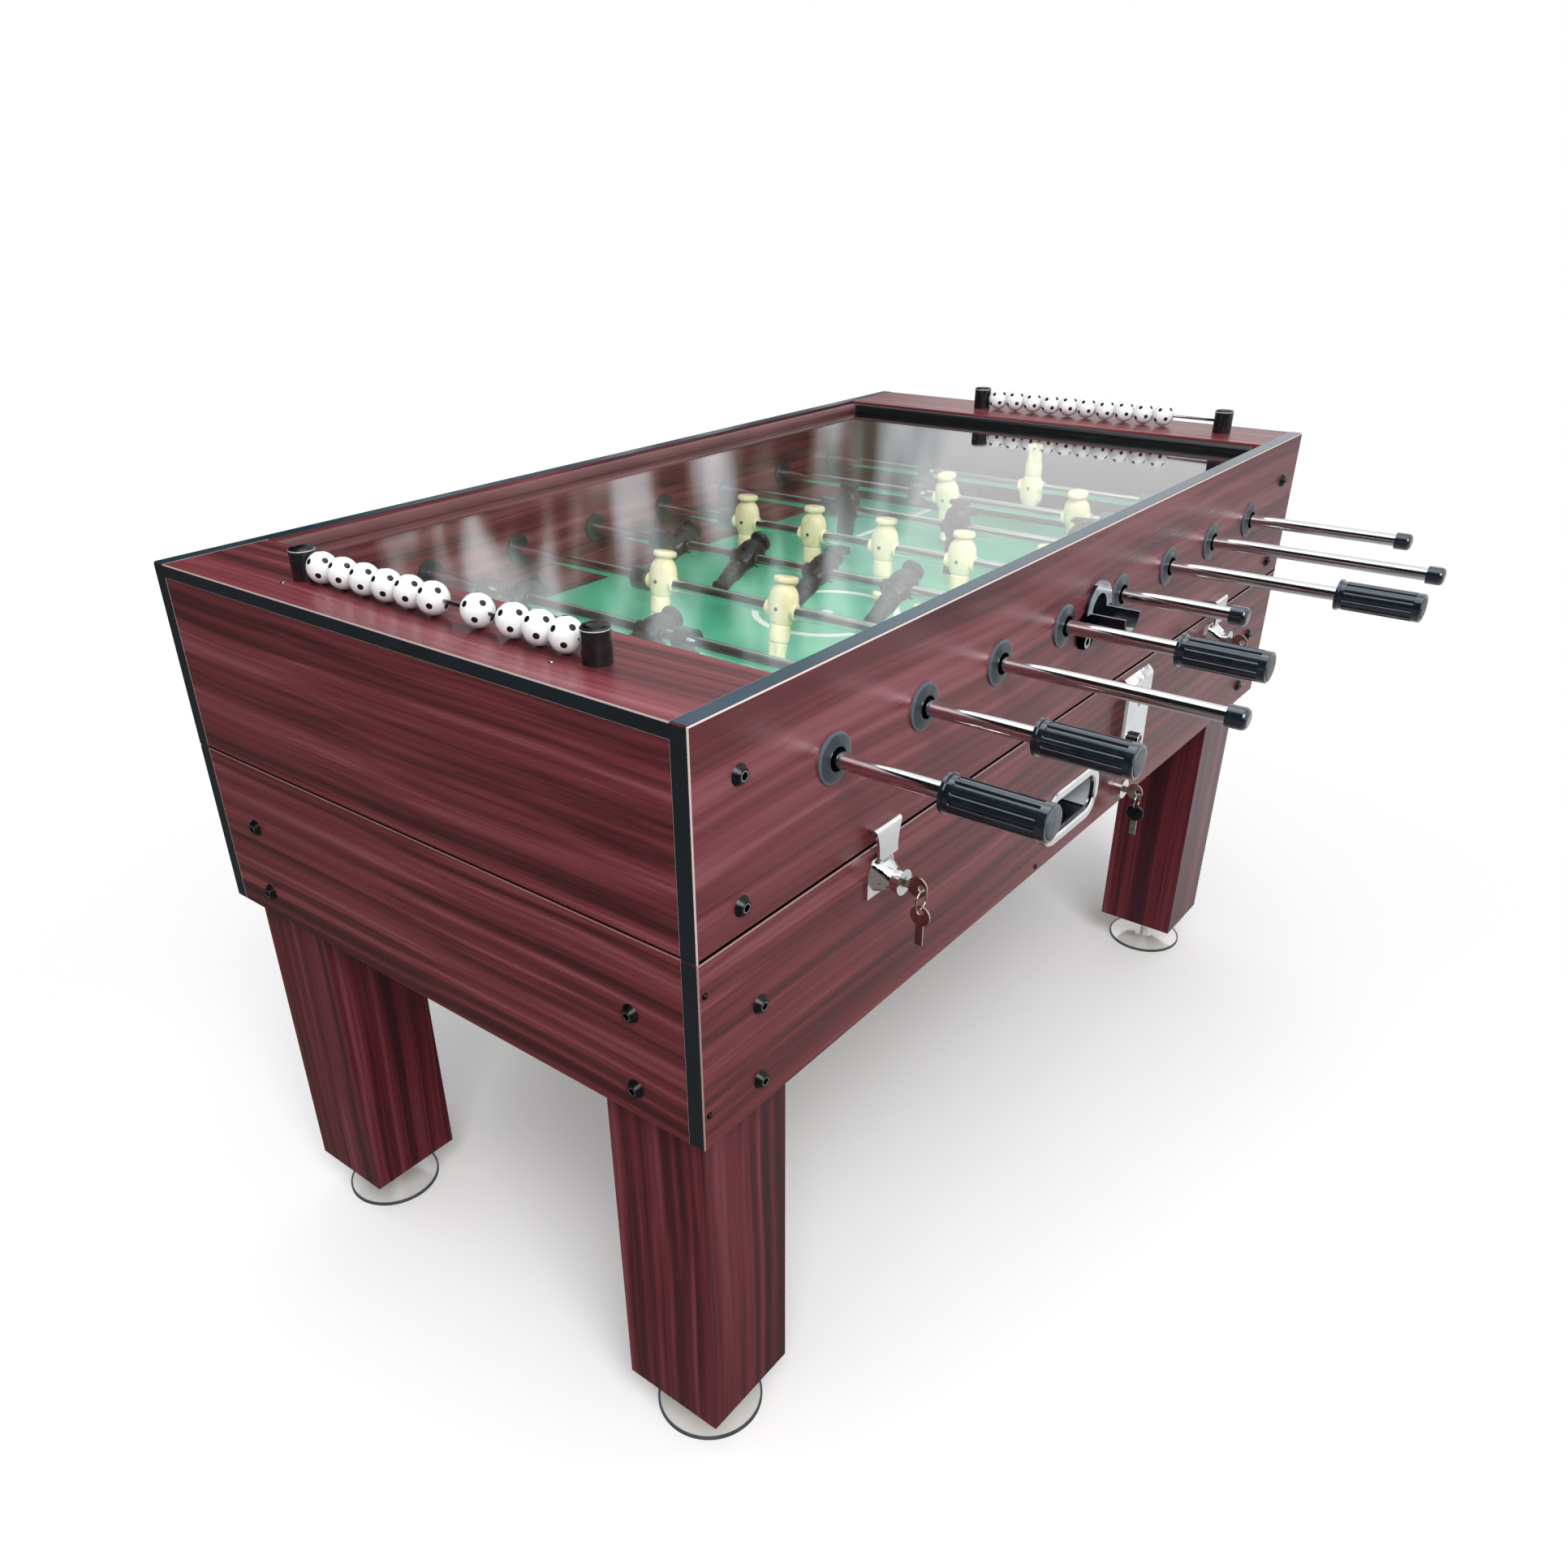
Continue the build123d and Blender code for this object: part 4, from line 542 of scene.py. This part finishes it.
def oval_body(shape, rings, sides):
    """Raise a closed body through oval rings of (height, depth, width)."""
    height, depth, width = rings[0]
    oval = Matrix.Translation((0, 0, height)) @ Matrix.Diagonal((depth / 2, width / 2, 1, 1))
    loop = bmesh.ops.create_circle(shape, cap_ends=True, segments=sides, radius=1, matrix=oval)["verts"]
    edges = list({edge for vert in loop for edge in vert.link_edges})
    for next_height, next_depth, next_width in rings[1:]:
        raised = bmesh.ops.extrude_edge_only(shape, edges=edges)["geom"]
        loop = [item for item in raised if isinstance(item, bmesh.types.BMVert)]
        edges = [item for item in raised if isinstance(item, bmesh.types.BMEdge)]
        bmesh.ops.scale(shape, vec=(next_depth / depth, next_width / width, 1), verts=loop)
        bmesh.ops.translate(shape, vec=(0, 0, next_height - height), verts=loop)
        height, depth, width = next_height, next_depth, next_width
    bmesh.ops.edgeloop_fill(shape, edges=edges)


def groove(shape, low, high, part):
    """Press the front and back middle of a body in between two heights."""
    middle = [vert for vert in shape.verts if abs(vert.co.y) < 1 and low <= vert.co.z <= high]
    bmesh.ops.scale(shape, vec=(part, 1, 1), verts=middle)


man = bmesh.new()
oval_body(man, MAN_RINGS, MAN_SIDES)
groove(man, *LEG_SPLIT)
bmesh.ops.recalc_face_normals(man, faces=man.faces)
bmesh.ops.scale(man, vec=(MM, MM, MM), verts=man.verts)
man_mesh = bpy.data.meshes.new("one man")
man.to_mesh(man_mesh)
man.free()
for n, count, rest_turn in zip(ROD_NUMBERS, MEN_COUNTS, REST_TURNS):
    colour = men_black if n in BLACK_RODS else men_cream
    low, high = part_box(f"rod_{n}_men")
    gap = (high.y - low.y - 2 * HALF_MAN) / max(count - 1, 1)
    turn = Matrix.Rotation(radians(rest_turn), 4, "Y")
    men = bmesh.new()
    bosses = bmesh.new()
    pin_hole_shades = bmesh.new()
    for i in range(count):
        stand = Matrix.Translation((rod_x[n - 1], low.y + HALF_MAN + i * gap, rod_z)) @ turn
        first = len(men.verts)
        men.from_mesh(man_mesh)
        men.verts.ensure_lookup_table()
        bmesh.ops.transform(men, matrix=stand, verts=men.verts[first:])
        for s in (-1, 1):
            turned(bosses, stand @ facing_out((0, s * BOSS_Y, 0), (0, s, 0)), BOSS, 24)
            turned(pin_hole_shades, stand @ facing_out((s * PIN_X, 0, PIN_Z), (s, 0, 0)), PIN, 12)
    made = piece(f"rod_{n}_men_moulded", men, colour, f"rod_{n}_spin", smooth=True)
    rounding = made.modifiers.new("rounding", "SUBSURF")
    rounding.levels = 2
    rounding.render_levels = 2
    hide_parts(f"rod_{n}_men")
    piece(f"rod_{n}_bosses", bosses, colour, f"rod_{n}_spin")
    # The pin holes are black discs of painted shade.
    piece(f"rod_{n}_pins", pin_hole_shades, shadow_black, f"rod_{n}_spin", smooth=True)

# Grips: glossy blue-black moulded plastic, pushed on the rod. A flat grey plug closes
# the outer end of each grip.
PLUG = 0.0135
PLUG_OUTLINE = ((0, 0.0012), (PLUG - 0.002, 0.0009), (PLUG, 0), (0, 0))
grip_black = finish("blue-black moulded plastic", "11171D", "1A2129", 0.008, 0.20, coat=1.0, specular=1.0,
                    sheen="C4D8EE")
plug_grey = finish("grey end plug", "59626A", "4A525A", 0.006, 0.38)
for n in ROD_NUMBERS:
    dress(grip_black, f"rod_{n}_grip")
    low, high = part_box(f"rod_{n}_grip")
    tip, outward = (low.y, -1) if n in BLACK_RODS else (high.y, 1)
    plug = bmesh.new()
    turned(plug, facing_out((rod_x[n - 1], tip, rod_z), (0, outward, 0)), PLUG_OUTLINE, 40)
    piece(f"rod_{n}_plug", plug, plug_grey, f"rod_{n}_spin", smooth=True)

# Ball entry: an arched moulding with a half-round tongue, blue-black. Its face is drawn grey as a painted
# reflection, and the tongue's upward edges as a painted highlight. A round foot below it, drawn black as
# painted shade, is held to the panel through a steel washer.
ENTRY_DROP = 0.095
FACE_LOW = 0.0955
FRONT_SIDE = -0.8
UPPER_SIDE = 0.9
ENTRY_MOTTLE = 1 / 70
ARCH_R = 0.0263
ARCH_WIDTH = 0.0144
ARCH_PROUD = 0.0046
FOOT_X, FOOT_Z = -0.0132, 0.7846
FOOT_R = 0.024
FOOT_PROUD = 0.0044
FOOT_OUTLINE = ((0, FOOT_PROUD), (FOOT_R - 0.001, FOOT_PROUD), (FOOT_R, 0.0036), (FOOT_R, 0), (0, 0))
WASHER_X, WASHER_Z = -0.0140, 0.7700
WASHER_R = 0.0062
WASHER_WIDTH = 0.0036
WASHER_PROUD = 0.0008
entry_low, entry_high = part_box("ball_entry_cup")
moulding, tree, shader, coords = blank("blue-black moulding, painted reflection and highlight")
direction = add(tree, "ShaderNodeSeparateXYZ", links={0: coords["Normal"]}).outputs
spot = add(tree, "ShaderNodeSeparateXYZ", links={0: coords["Object"]}).outputs
# Grey where the face looks out, a painted reflection, and on upward edges, a painted highlight.
front = add(tree, "ShaderNodeMath", {"operation": "LESS_THAN"}, {1: FRONT_SIDE}, {0: direction[1]})
upper = add(tree, "ShaderNodeMath", {"operation": "GREATER_THAN"}, {1: panel_high.z - FACE_LOW}, {0: spot[2]})
face = add(tree, "ShaderNodeMath", {"operation": "MULTIPLY"}, links={0: front, 1: upper})
edge = add(tree, "ShaderNodeMath", {"operation": "GREATER_THAN"}, {1: UPPER_SIDE}, {0: direction[2]})
grey_gleam = add(tree, "ShaderNodeMath", {"operation": "MAXIMUM"}, links={0: face, 1: edge})
two_tone(tree, shader, grey_gleam, mottle(tree, coords, ENTRY_MOTTLE, "070B10", "0C131B")[1],
         mottle(tree, coords, ENTRY_MOTTLE, "8A919B", "A4AAB2")[1], 0.22)
dress(moulding, "ball_entry_cup")
arch = bmesh.new()
arch_middle = Vector(((entry_low.x + entry_high.x) / 2, panel_low.y, panel_high.z - ENTRY_DROP))
ring(arch, facing_out(arch_middle, (0, -1, 0)), ARCH_R, ARCH_WIDTH, ARCH_PROUD, 48)
everything = arch.verts[:] + arch.edges[:] + arch.faces[:]
cut = bmesh.ops.bisect_plane(arch, geom=everything, plane_co=arch_middle, plane_no=(0, 0, -1),
                             clear_outer=True)
bmesh.ops.holes_fill(arch, edges=[item for item in cut["geom_cut"] if isinstance(item, bmesh.types.BMEdge)])
piece("entry_arch", arch, moulding, "play_box")
# The foot is a black disc of painted shade.
foot = bmesh.new()
turned(foot, facing_out((FOOT_X, panel_low.y, FOOT_Z), (0, -1, 0)), FOOT_OUTLINE, 40)
piece("entry_foot_shade", foot, shadow_black, "play_box")
washer = bmesh.new()
ring(washer, facing_out((WASHER_X, panel_low.y - FOOT_PROUD, WASHER_Z), (0, -1, 0)), WASHER_R, WASHER_WIDTH,
     WASHER_PROUD)
piece("entry_washer", washer, worn_steel, "play_box")

# Scorers: black turned posts with a pale ring round the side under the top edge, a painted highlight, and a
# domed black top, and a bright steel wire between each pair.
POST_R = 0.0135
POST_LINE_DROP = 0.0024
POST_LINE_WIDTH = 0.0004
POST_LINE_HEIGHT = 0.0009
POST_TOP = ((0, 0.0012), (POST_R / 2, 0.0009), (POST_R - 0.0020, 0.0001), (POST_R - 0.0020, 0), (0, 0))
SCORER_SPAN = 0.416
NEAR_SCORER_Y = -0.020
FAR_SCORER_Y = -0.069
WIRE_R = 0.00203
scorer_black = finish("black turned plastic", "0E1012", "181B1E", 0.008, 0.25, coat=0.3)
dress(scorer_black, "scorer_rails")
post_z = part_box("scorer_rails")[1].z
near_low, near_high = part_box("near_beads_left")
far_low, far_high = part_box("far_beads")
wire_z = (near_high.z + near_low.z) / 2
# A thin pale ring under each top edge: a painted highlight.
post_highlight_lines = bmesh.new()
discs = bmesh.new()
wires = bmesh.new()
half = SCORER_SPAN / 2 - POST_R
near_x, far_x = (near_low.x + near_high.x) / 2, (far_low.x + far_high.x) / 2
for x, middle in ((near_x, NEAR_SCORER_Y), (far_x, FAR_SCORER_Y)):
    for s in (-1, 1):
        top = Matrix.Translation((x, middle + s * SCORER_SPAN / 2, post_z))
        ring(post_highlight_lines, top @ Matrix.Translation((0, 0, -POST_LINE_DROP)), POST_R, POST_LINE_WIDTH,
             POST_LINE_HEIGHT)
        turned(discs, top, POST_TOP)
    wire = Matrix.Translation((x, middle, wire_z)) @ Matrix.Rotation(pi / 2, 4, "X")
    turned(wires, wire, ((0, -half), (WIRE_R, -half), (WIRE_R, half), (0, half)), 16)
piece("post_highlight_rings", post_highlight_lines, finish("painted highlight line", "D4D7DA", "C4C8CB", 0.004, 0.3), "play_box")
piece("post_discs", discs, finish("black cap", "08090B", "0F1113", 0.004, 0.2, specular=0.2), "play_box",
      smooth=True)
piece("scorer_wires", wires, worn_steel, "play_box", smooth=True)

# Scoring beads: white moulded balls threaded on the wire, each with twelve black dots let into it. They
# hang much alike, a few degrees of roll apart.
BEAD_R = (near_high.z - near_low.z) / 2
BEAD_HOLE = 0.00205
NEAR_LEFT_BEADS = 6
FAR_BEADS = 10
NEAR_RIGHT_PITCH = 0.033
DOT_R = 0.0031
DOT_OVER = BEAD_R * 1.004
DOT_UNDER = 0.95
BEAD_FACING = Vector((-0.757, -0.555, 0.47))
dress(finish("white moulded plastic", "F6F7F7", "E9ECEE", 0.01, 0.18), "near_beads_left", "near_beads_right",
      "far_beads")
dot_black = finish("black dots", "0B0C0D", "15171A", 0.004, 0.25)
golden = (1 + sqrt(5)) / 2
corners = [Vector(v) for a in (-1, 1) for b in (-golden, golden) for v in ((0, a, b), (a, b, 0), (b, 0, a))]
dot_slope = asin(DOT_R / BEAD_R)
dot_outline = [(DOT_OVER * sin(dot_slope * k / 3), DOT_OVER * cos(dot_slope * k / 3)) for k in range(4)]
dot_outline += [(DOT_R * DOT_UNDER, BEAD_R * DOT_UNDER), (0, BEAD_R * DOT_UNDER)]
meeting = [corner for corner in corners if abs(corner.dot(corners[0]) - golden) < 0.01]
meeting = [corners[0], meeting[0], next(c for c in meeting if abs(c.dot(meeting[0]) - golden) < 0.01)]


def upright_basis(facing, down):
    """Columns of a basis: a facing direction, the part of another that is square to it, and the third."""
    facing = facing.normalized()
    down = (down - facing * down.dot(facing)).normalized()
    return Matrix((facing, down, facing.cross(down))).transposed()


def spaced(low, high, count):
    """Middles of a row of beads that fills a box along Y."""
    step = (high.y - low.y - 2 * bead_half) / (count - 1)
    return [high.y - bead_half - i * step for i in range(count)]


settle = upright_basis(BEAD_FACING, Vector((0, 0, -1)))
settle = settle @ upright_basis(sum(meeting, Vector()), corners[0]).transposed()
bead_half = sqrt(BEAD_R ** 2 - BEAD_HOLE ** 2)
right_low, right_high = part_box("near_beads_right")
right_row = [right_low.y + bead_half + i * NEAR_RIGHT_PITCH for i in range(3)] + [right_high.y - bead_half]
rows = {"near_beads_left": spaced(near_low, near_high, NEAR_LEFT_BEADS),
        "far_beads": spaced(far_low, far_high, FAR_BEADS), "near_beads_right": right_row}
for group, ys in rows.items():
    low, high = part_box(group)
    dots = bmesh.new()
    for i, y in enumerate(ys):
        rolled = Matrix.Rotation(radians((i * 7) % 10 - 5), 3, "Y") @ settle
        centre = Vector(((low.x + high.x) / 2, y, wire_z))
        for corner in corners:
            turned(dots, facing_out(centre, rolled @ corner), dot_outline, 12)
    piece(f"dots_{group}", dots, dot_black, group, smooth=True)

# Studio: a white floor that keeps the shadow near the table and fades into the white surround, and two large
# soft lamps. Metal and glass see a greyer floor, paler towards the far end, and a sky with upright streaks
# that darkens towards the near end and the hinge side.
FLOOR_PALER = {"From Min": -0.8, "From Max": 1.4, "To Min": 0.0, "To Max": 0.8}
FLOOR_FADE = {"From Min": 0.55, "From Max": 1.7}
FLOOR_HALF = 30
WHITE = (1, 1, 1, 1)
SKY_GREY = (0.55, 0.55, 0.55, 1)
SKY_LEAN = (1.8, -1.2, 1.0)
SKY_STREAKS = (((7, 7, 1.2), 2.0), ((30, 30, 2), 1.0))  # stretch and detail of the broad and the narrow ones
STREAK_STRENGTH = 1.7
SKY_GAIN = 0.45
SKY_SHIFT = -0.285
SKY_TONES = ((0.52, "15110F"), (0.62, "3A312B"), (0.69, "6E655C"), (0.76, "AEB2B2"), (0.84, "E2E8EA"),
             (0.92, "FFFFFF"))
floor_white, tree, shader, coords = blank("white studio floor")
path = add(tree, "ShaderNodeLightPath").outputs
clear = add(tree, "ShaderNodeMath", {"operation": "MAXIMUM"},
            links={0: path["Is Camera Ray"], 1: path["Is Transmission Ray"]})
spot = add(tree, "ShaderNodeSeparateXYZ", links={0: coords["Object"]}).outputs
far_end = add(tree, "ShaderNodeMapRange", values=FLOOR_PALER, links={"Value": spot[0]})
seen = add(tree, "ShaderNodeMath", {"operation": "MULTIPLY_ADD", "use_clamp": True},
           links={0: path["Is Glossy Ray"], 1: far_end, 2: clear})
shown = add(tree, "ShaderNodeMix", {"data_type": "RGBA"}, {6: linear("6C6662"), 7: linear("FFFFFF")},
            {0: seen})
tree.links.new(shown.outputs[2], shader.inputs["Base Color"])
shader.inputs["Roughness"].default_value = 0.9
shader.inputs["Specular IOR Level"].default_value = 0.0
reach = add(tree, "ShaderNodeVectorMath", {"operation": "LENGTH"}, links={0: coords["Object"]})
fade = add(tree, "ShaderNodeMapRange", {"interpolation_type": "SMOOTHSTEP"}, FLOOR_FADE,
           {"Value": reach.outputs["Value"]})
fade = add(tree, "ShaderNodeMath", {"operation": "MULTIPLY"}, links={0: fade, 1: clear})
glow = add(tree, "ShaderNodeEmission")
faded = add(tree, "ShaderNodeMixShader", links={0: fade, 1: shader, 2: glow})
tree.links.new(faded.outputs[0], tree.nodes["Material Output"].inputs["Surface"])
floor_shape = bmesh.new()
bmesh.ops.create_grid(floor_shape, x_segments=1, y_segments=1, size=FLOOR_HALF)
floor_mesh = bpy.data.meshes.new("studio floor")
floor_shape.to_mesh(floor_mesh)
floor_shape.free()
floor = bpy.data.objects.new("studio floor", floor_mesh)
floor.data.materials.append(floor_white)
bpy.context.scene.collection.objects.link(floor)

world = bpy.data.worlds.new("studio surround")
bpy.context.scene.world = world
world.use_nodes = True
tree = world.node_tree
path = add(tree, "ShaderNodeLightPath").outputs
way = add(tree, "ShaderNodeTexCoord").outputs["Generated"]
lean = add(tree, "ShaderNodeVectorMath", {"operation": "DOT_PRODUCT"}, {1: SKY_LEAN}, {0: way})
level = lean.outputs["Value"]
for stretch, detail in SKY_STREAKS:
    tall = add(tree, "ShaderNodeVectorMath", {"operation": "MULTIPLY"}, {1: stretch}, {0: way})
    streaks = add(tree, "ShaderNodeTexNoise", values={"Scale": 1.0, "Detail": detail}, links={"Vector": tall})
    level = add(tree, "ShaderNodeMath", {"operation": "MULTIPLY_ADD"}, {1: STREAK_STRENGTH},
                {0: streaks, 2: level})
level = add(tree, "ShaderNodeMath", {"operation": "MULTIPLY_ADD"}, {1: SKY_GAIN, 2: SKY_SHIFT}, {0: level})
sky = add(tree, "ShaderNodeValToRGB", links={"Fac": level}, stops=SKY_TONES)
plain = add(tree, "ShaderNodeMix", {"data_type": "RGBA"}, {6: SKY_GREY, 7: WHITE}, {0: path["Is Camera Ray"]})
plain = add(tree, "ShaderNodeMix", {"data_type": "RGBA"}, {7: WHITE},
            {0: path["Is Transmission Ray"], 6: plain.outputs[2]})
lit = add(tree, "ShaderNodeMix", {"data_type": "RGBA"},
          links={0: path["Is Glossy Ray"], 6: plain.outputs[2], 7: sky})
tree.links.new(lit.outputs[2], tree.nodes["Background"].inputs["Color"])


def lamp(name, place, aim, size, power):
    """A soft square lamp at a place, turned to a point."""
    data = bpy.data.lights.new(name, "AREA")
    data.size = size
    data.energy = power
    made = bpy.data.objects.new(name, data)
    made.location = place
    made.rotation_mode = "QUATERNION"
    made.rotation_quaternion = (Vector(aim) - Vector(place)).to_track_quat("-Z", "Y")
    bpy.context.scene.collection.objects.link(made)


lamp("key lamp", (-2.4, -2.6, 3.8), (0, 0, 0.6), 2.5, 170)
lamp("top lamp", (-0.3, 0.1, 3.3), (-0.1, 0, 0.9), 2.0, 20)

# Camera: standing near the left front corner, looking down along the table. Its place, turn, lens and shift
# were fitted to the photograph.
CAMERA_YAW = 0.677
CAMERA_PITCH = -0.522
CAMERA_ROLL = -0.0143
CAMERA_PLACE = (-1.33259, -0.93653, 1.24818)
LENS = 27.95
SENSOR = 36
SHIFT_X, SHIFT_Y = 0.0196, 0.0593
level_ahead = cos(CAMERA_PITCH)
ahead = Vector((cos(CAMERA_YAW) * level_ahead, sin(CAMERA_YAW) * level_ahead, sin(CAMERA_PITCH)))
right = Vector((sin(CAMERA_YAW), -cos(CAMERA_YAW), 0))
up = right.cross(ahead)
tilted = right * cos(CAMERA_ROLL) + up * sin(CAMERA_ROLL)
upright = up * cos(CAMERA_ROLL) - right * sin(CAMERA_ROLL)
camera = bpy.data.objects.new("camera", bpy.data.cameras.new("camera"))
camera.matrix_world = Matrix((tilted, upright, -ahead)).transposed().to_4x4()
camera.location = CAMERA_PLACE
camera.data.lens = LENS
camera.data.sensor_width = SENSOR
camera.data.shift_x = SHIFT_X
camera.data.shift_y = SHIFT_Y
bpy.context.scene.collection.objects.link(camera)
bpy.context.scene.camera = camera
bpy.context.scene.view_settings.view_transform = "Standard"
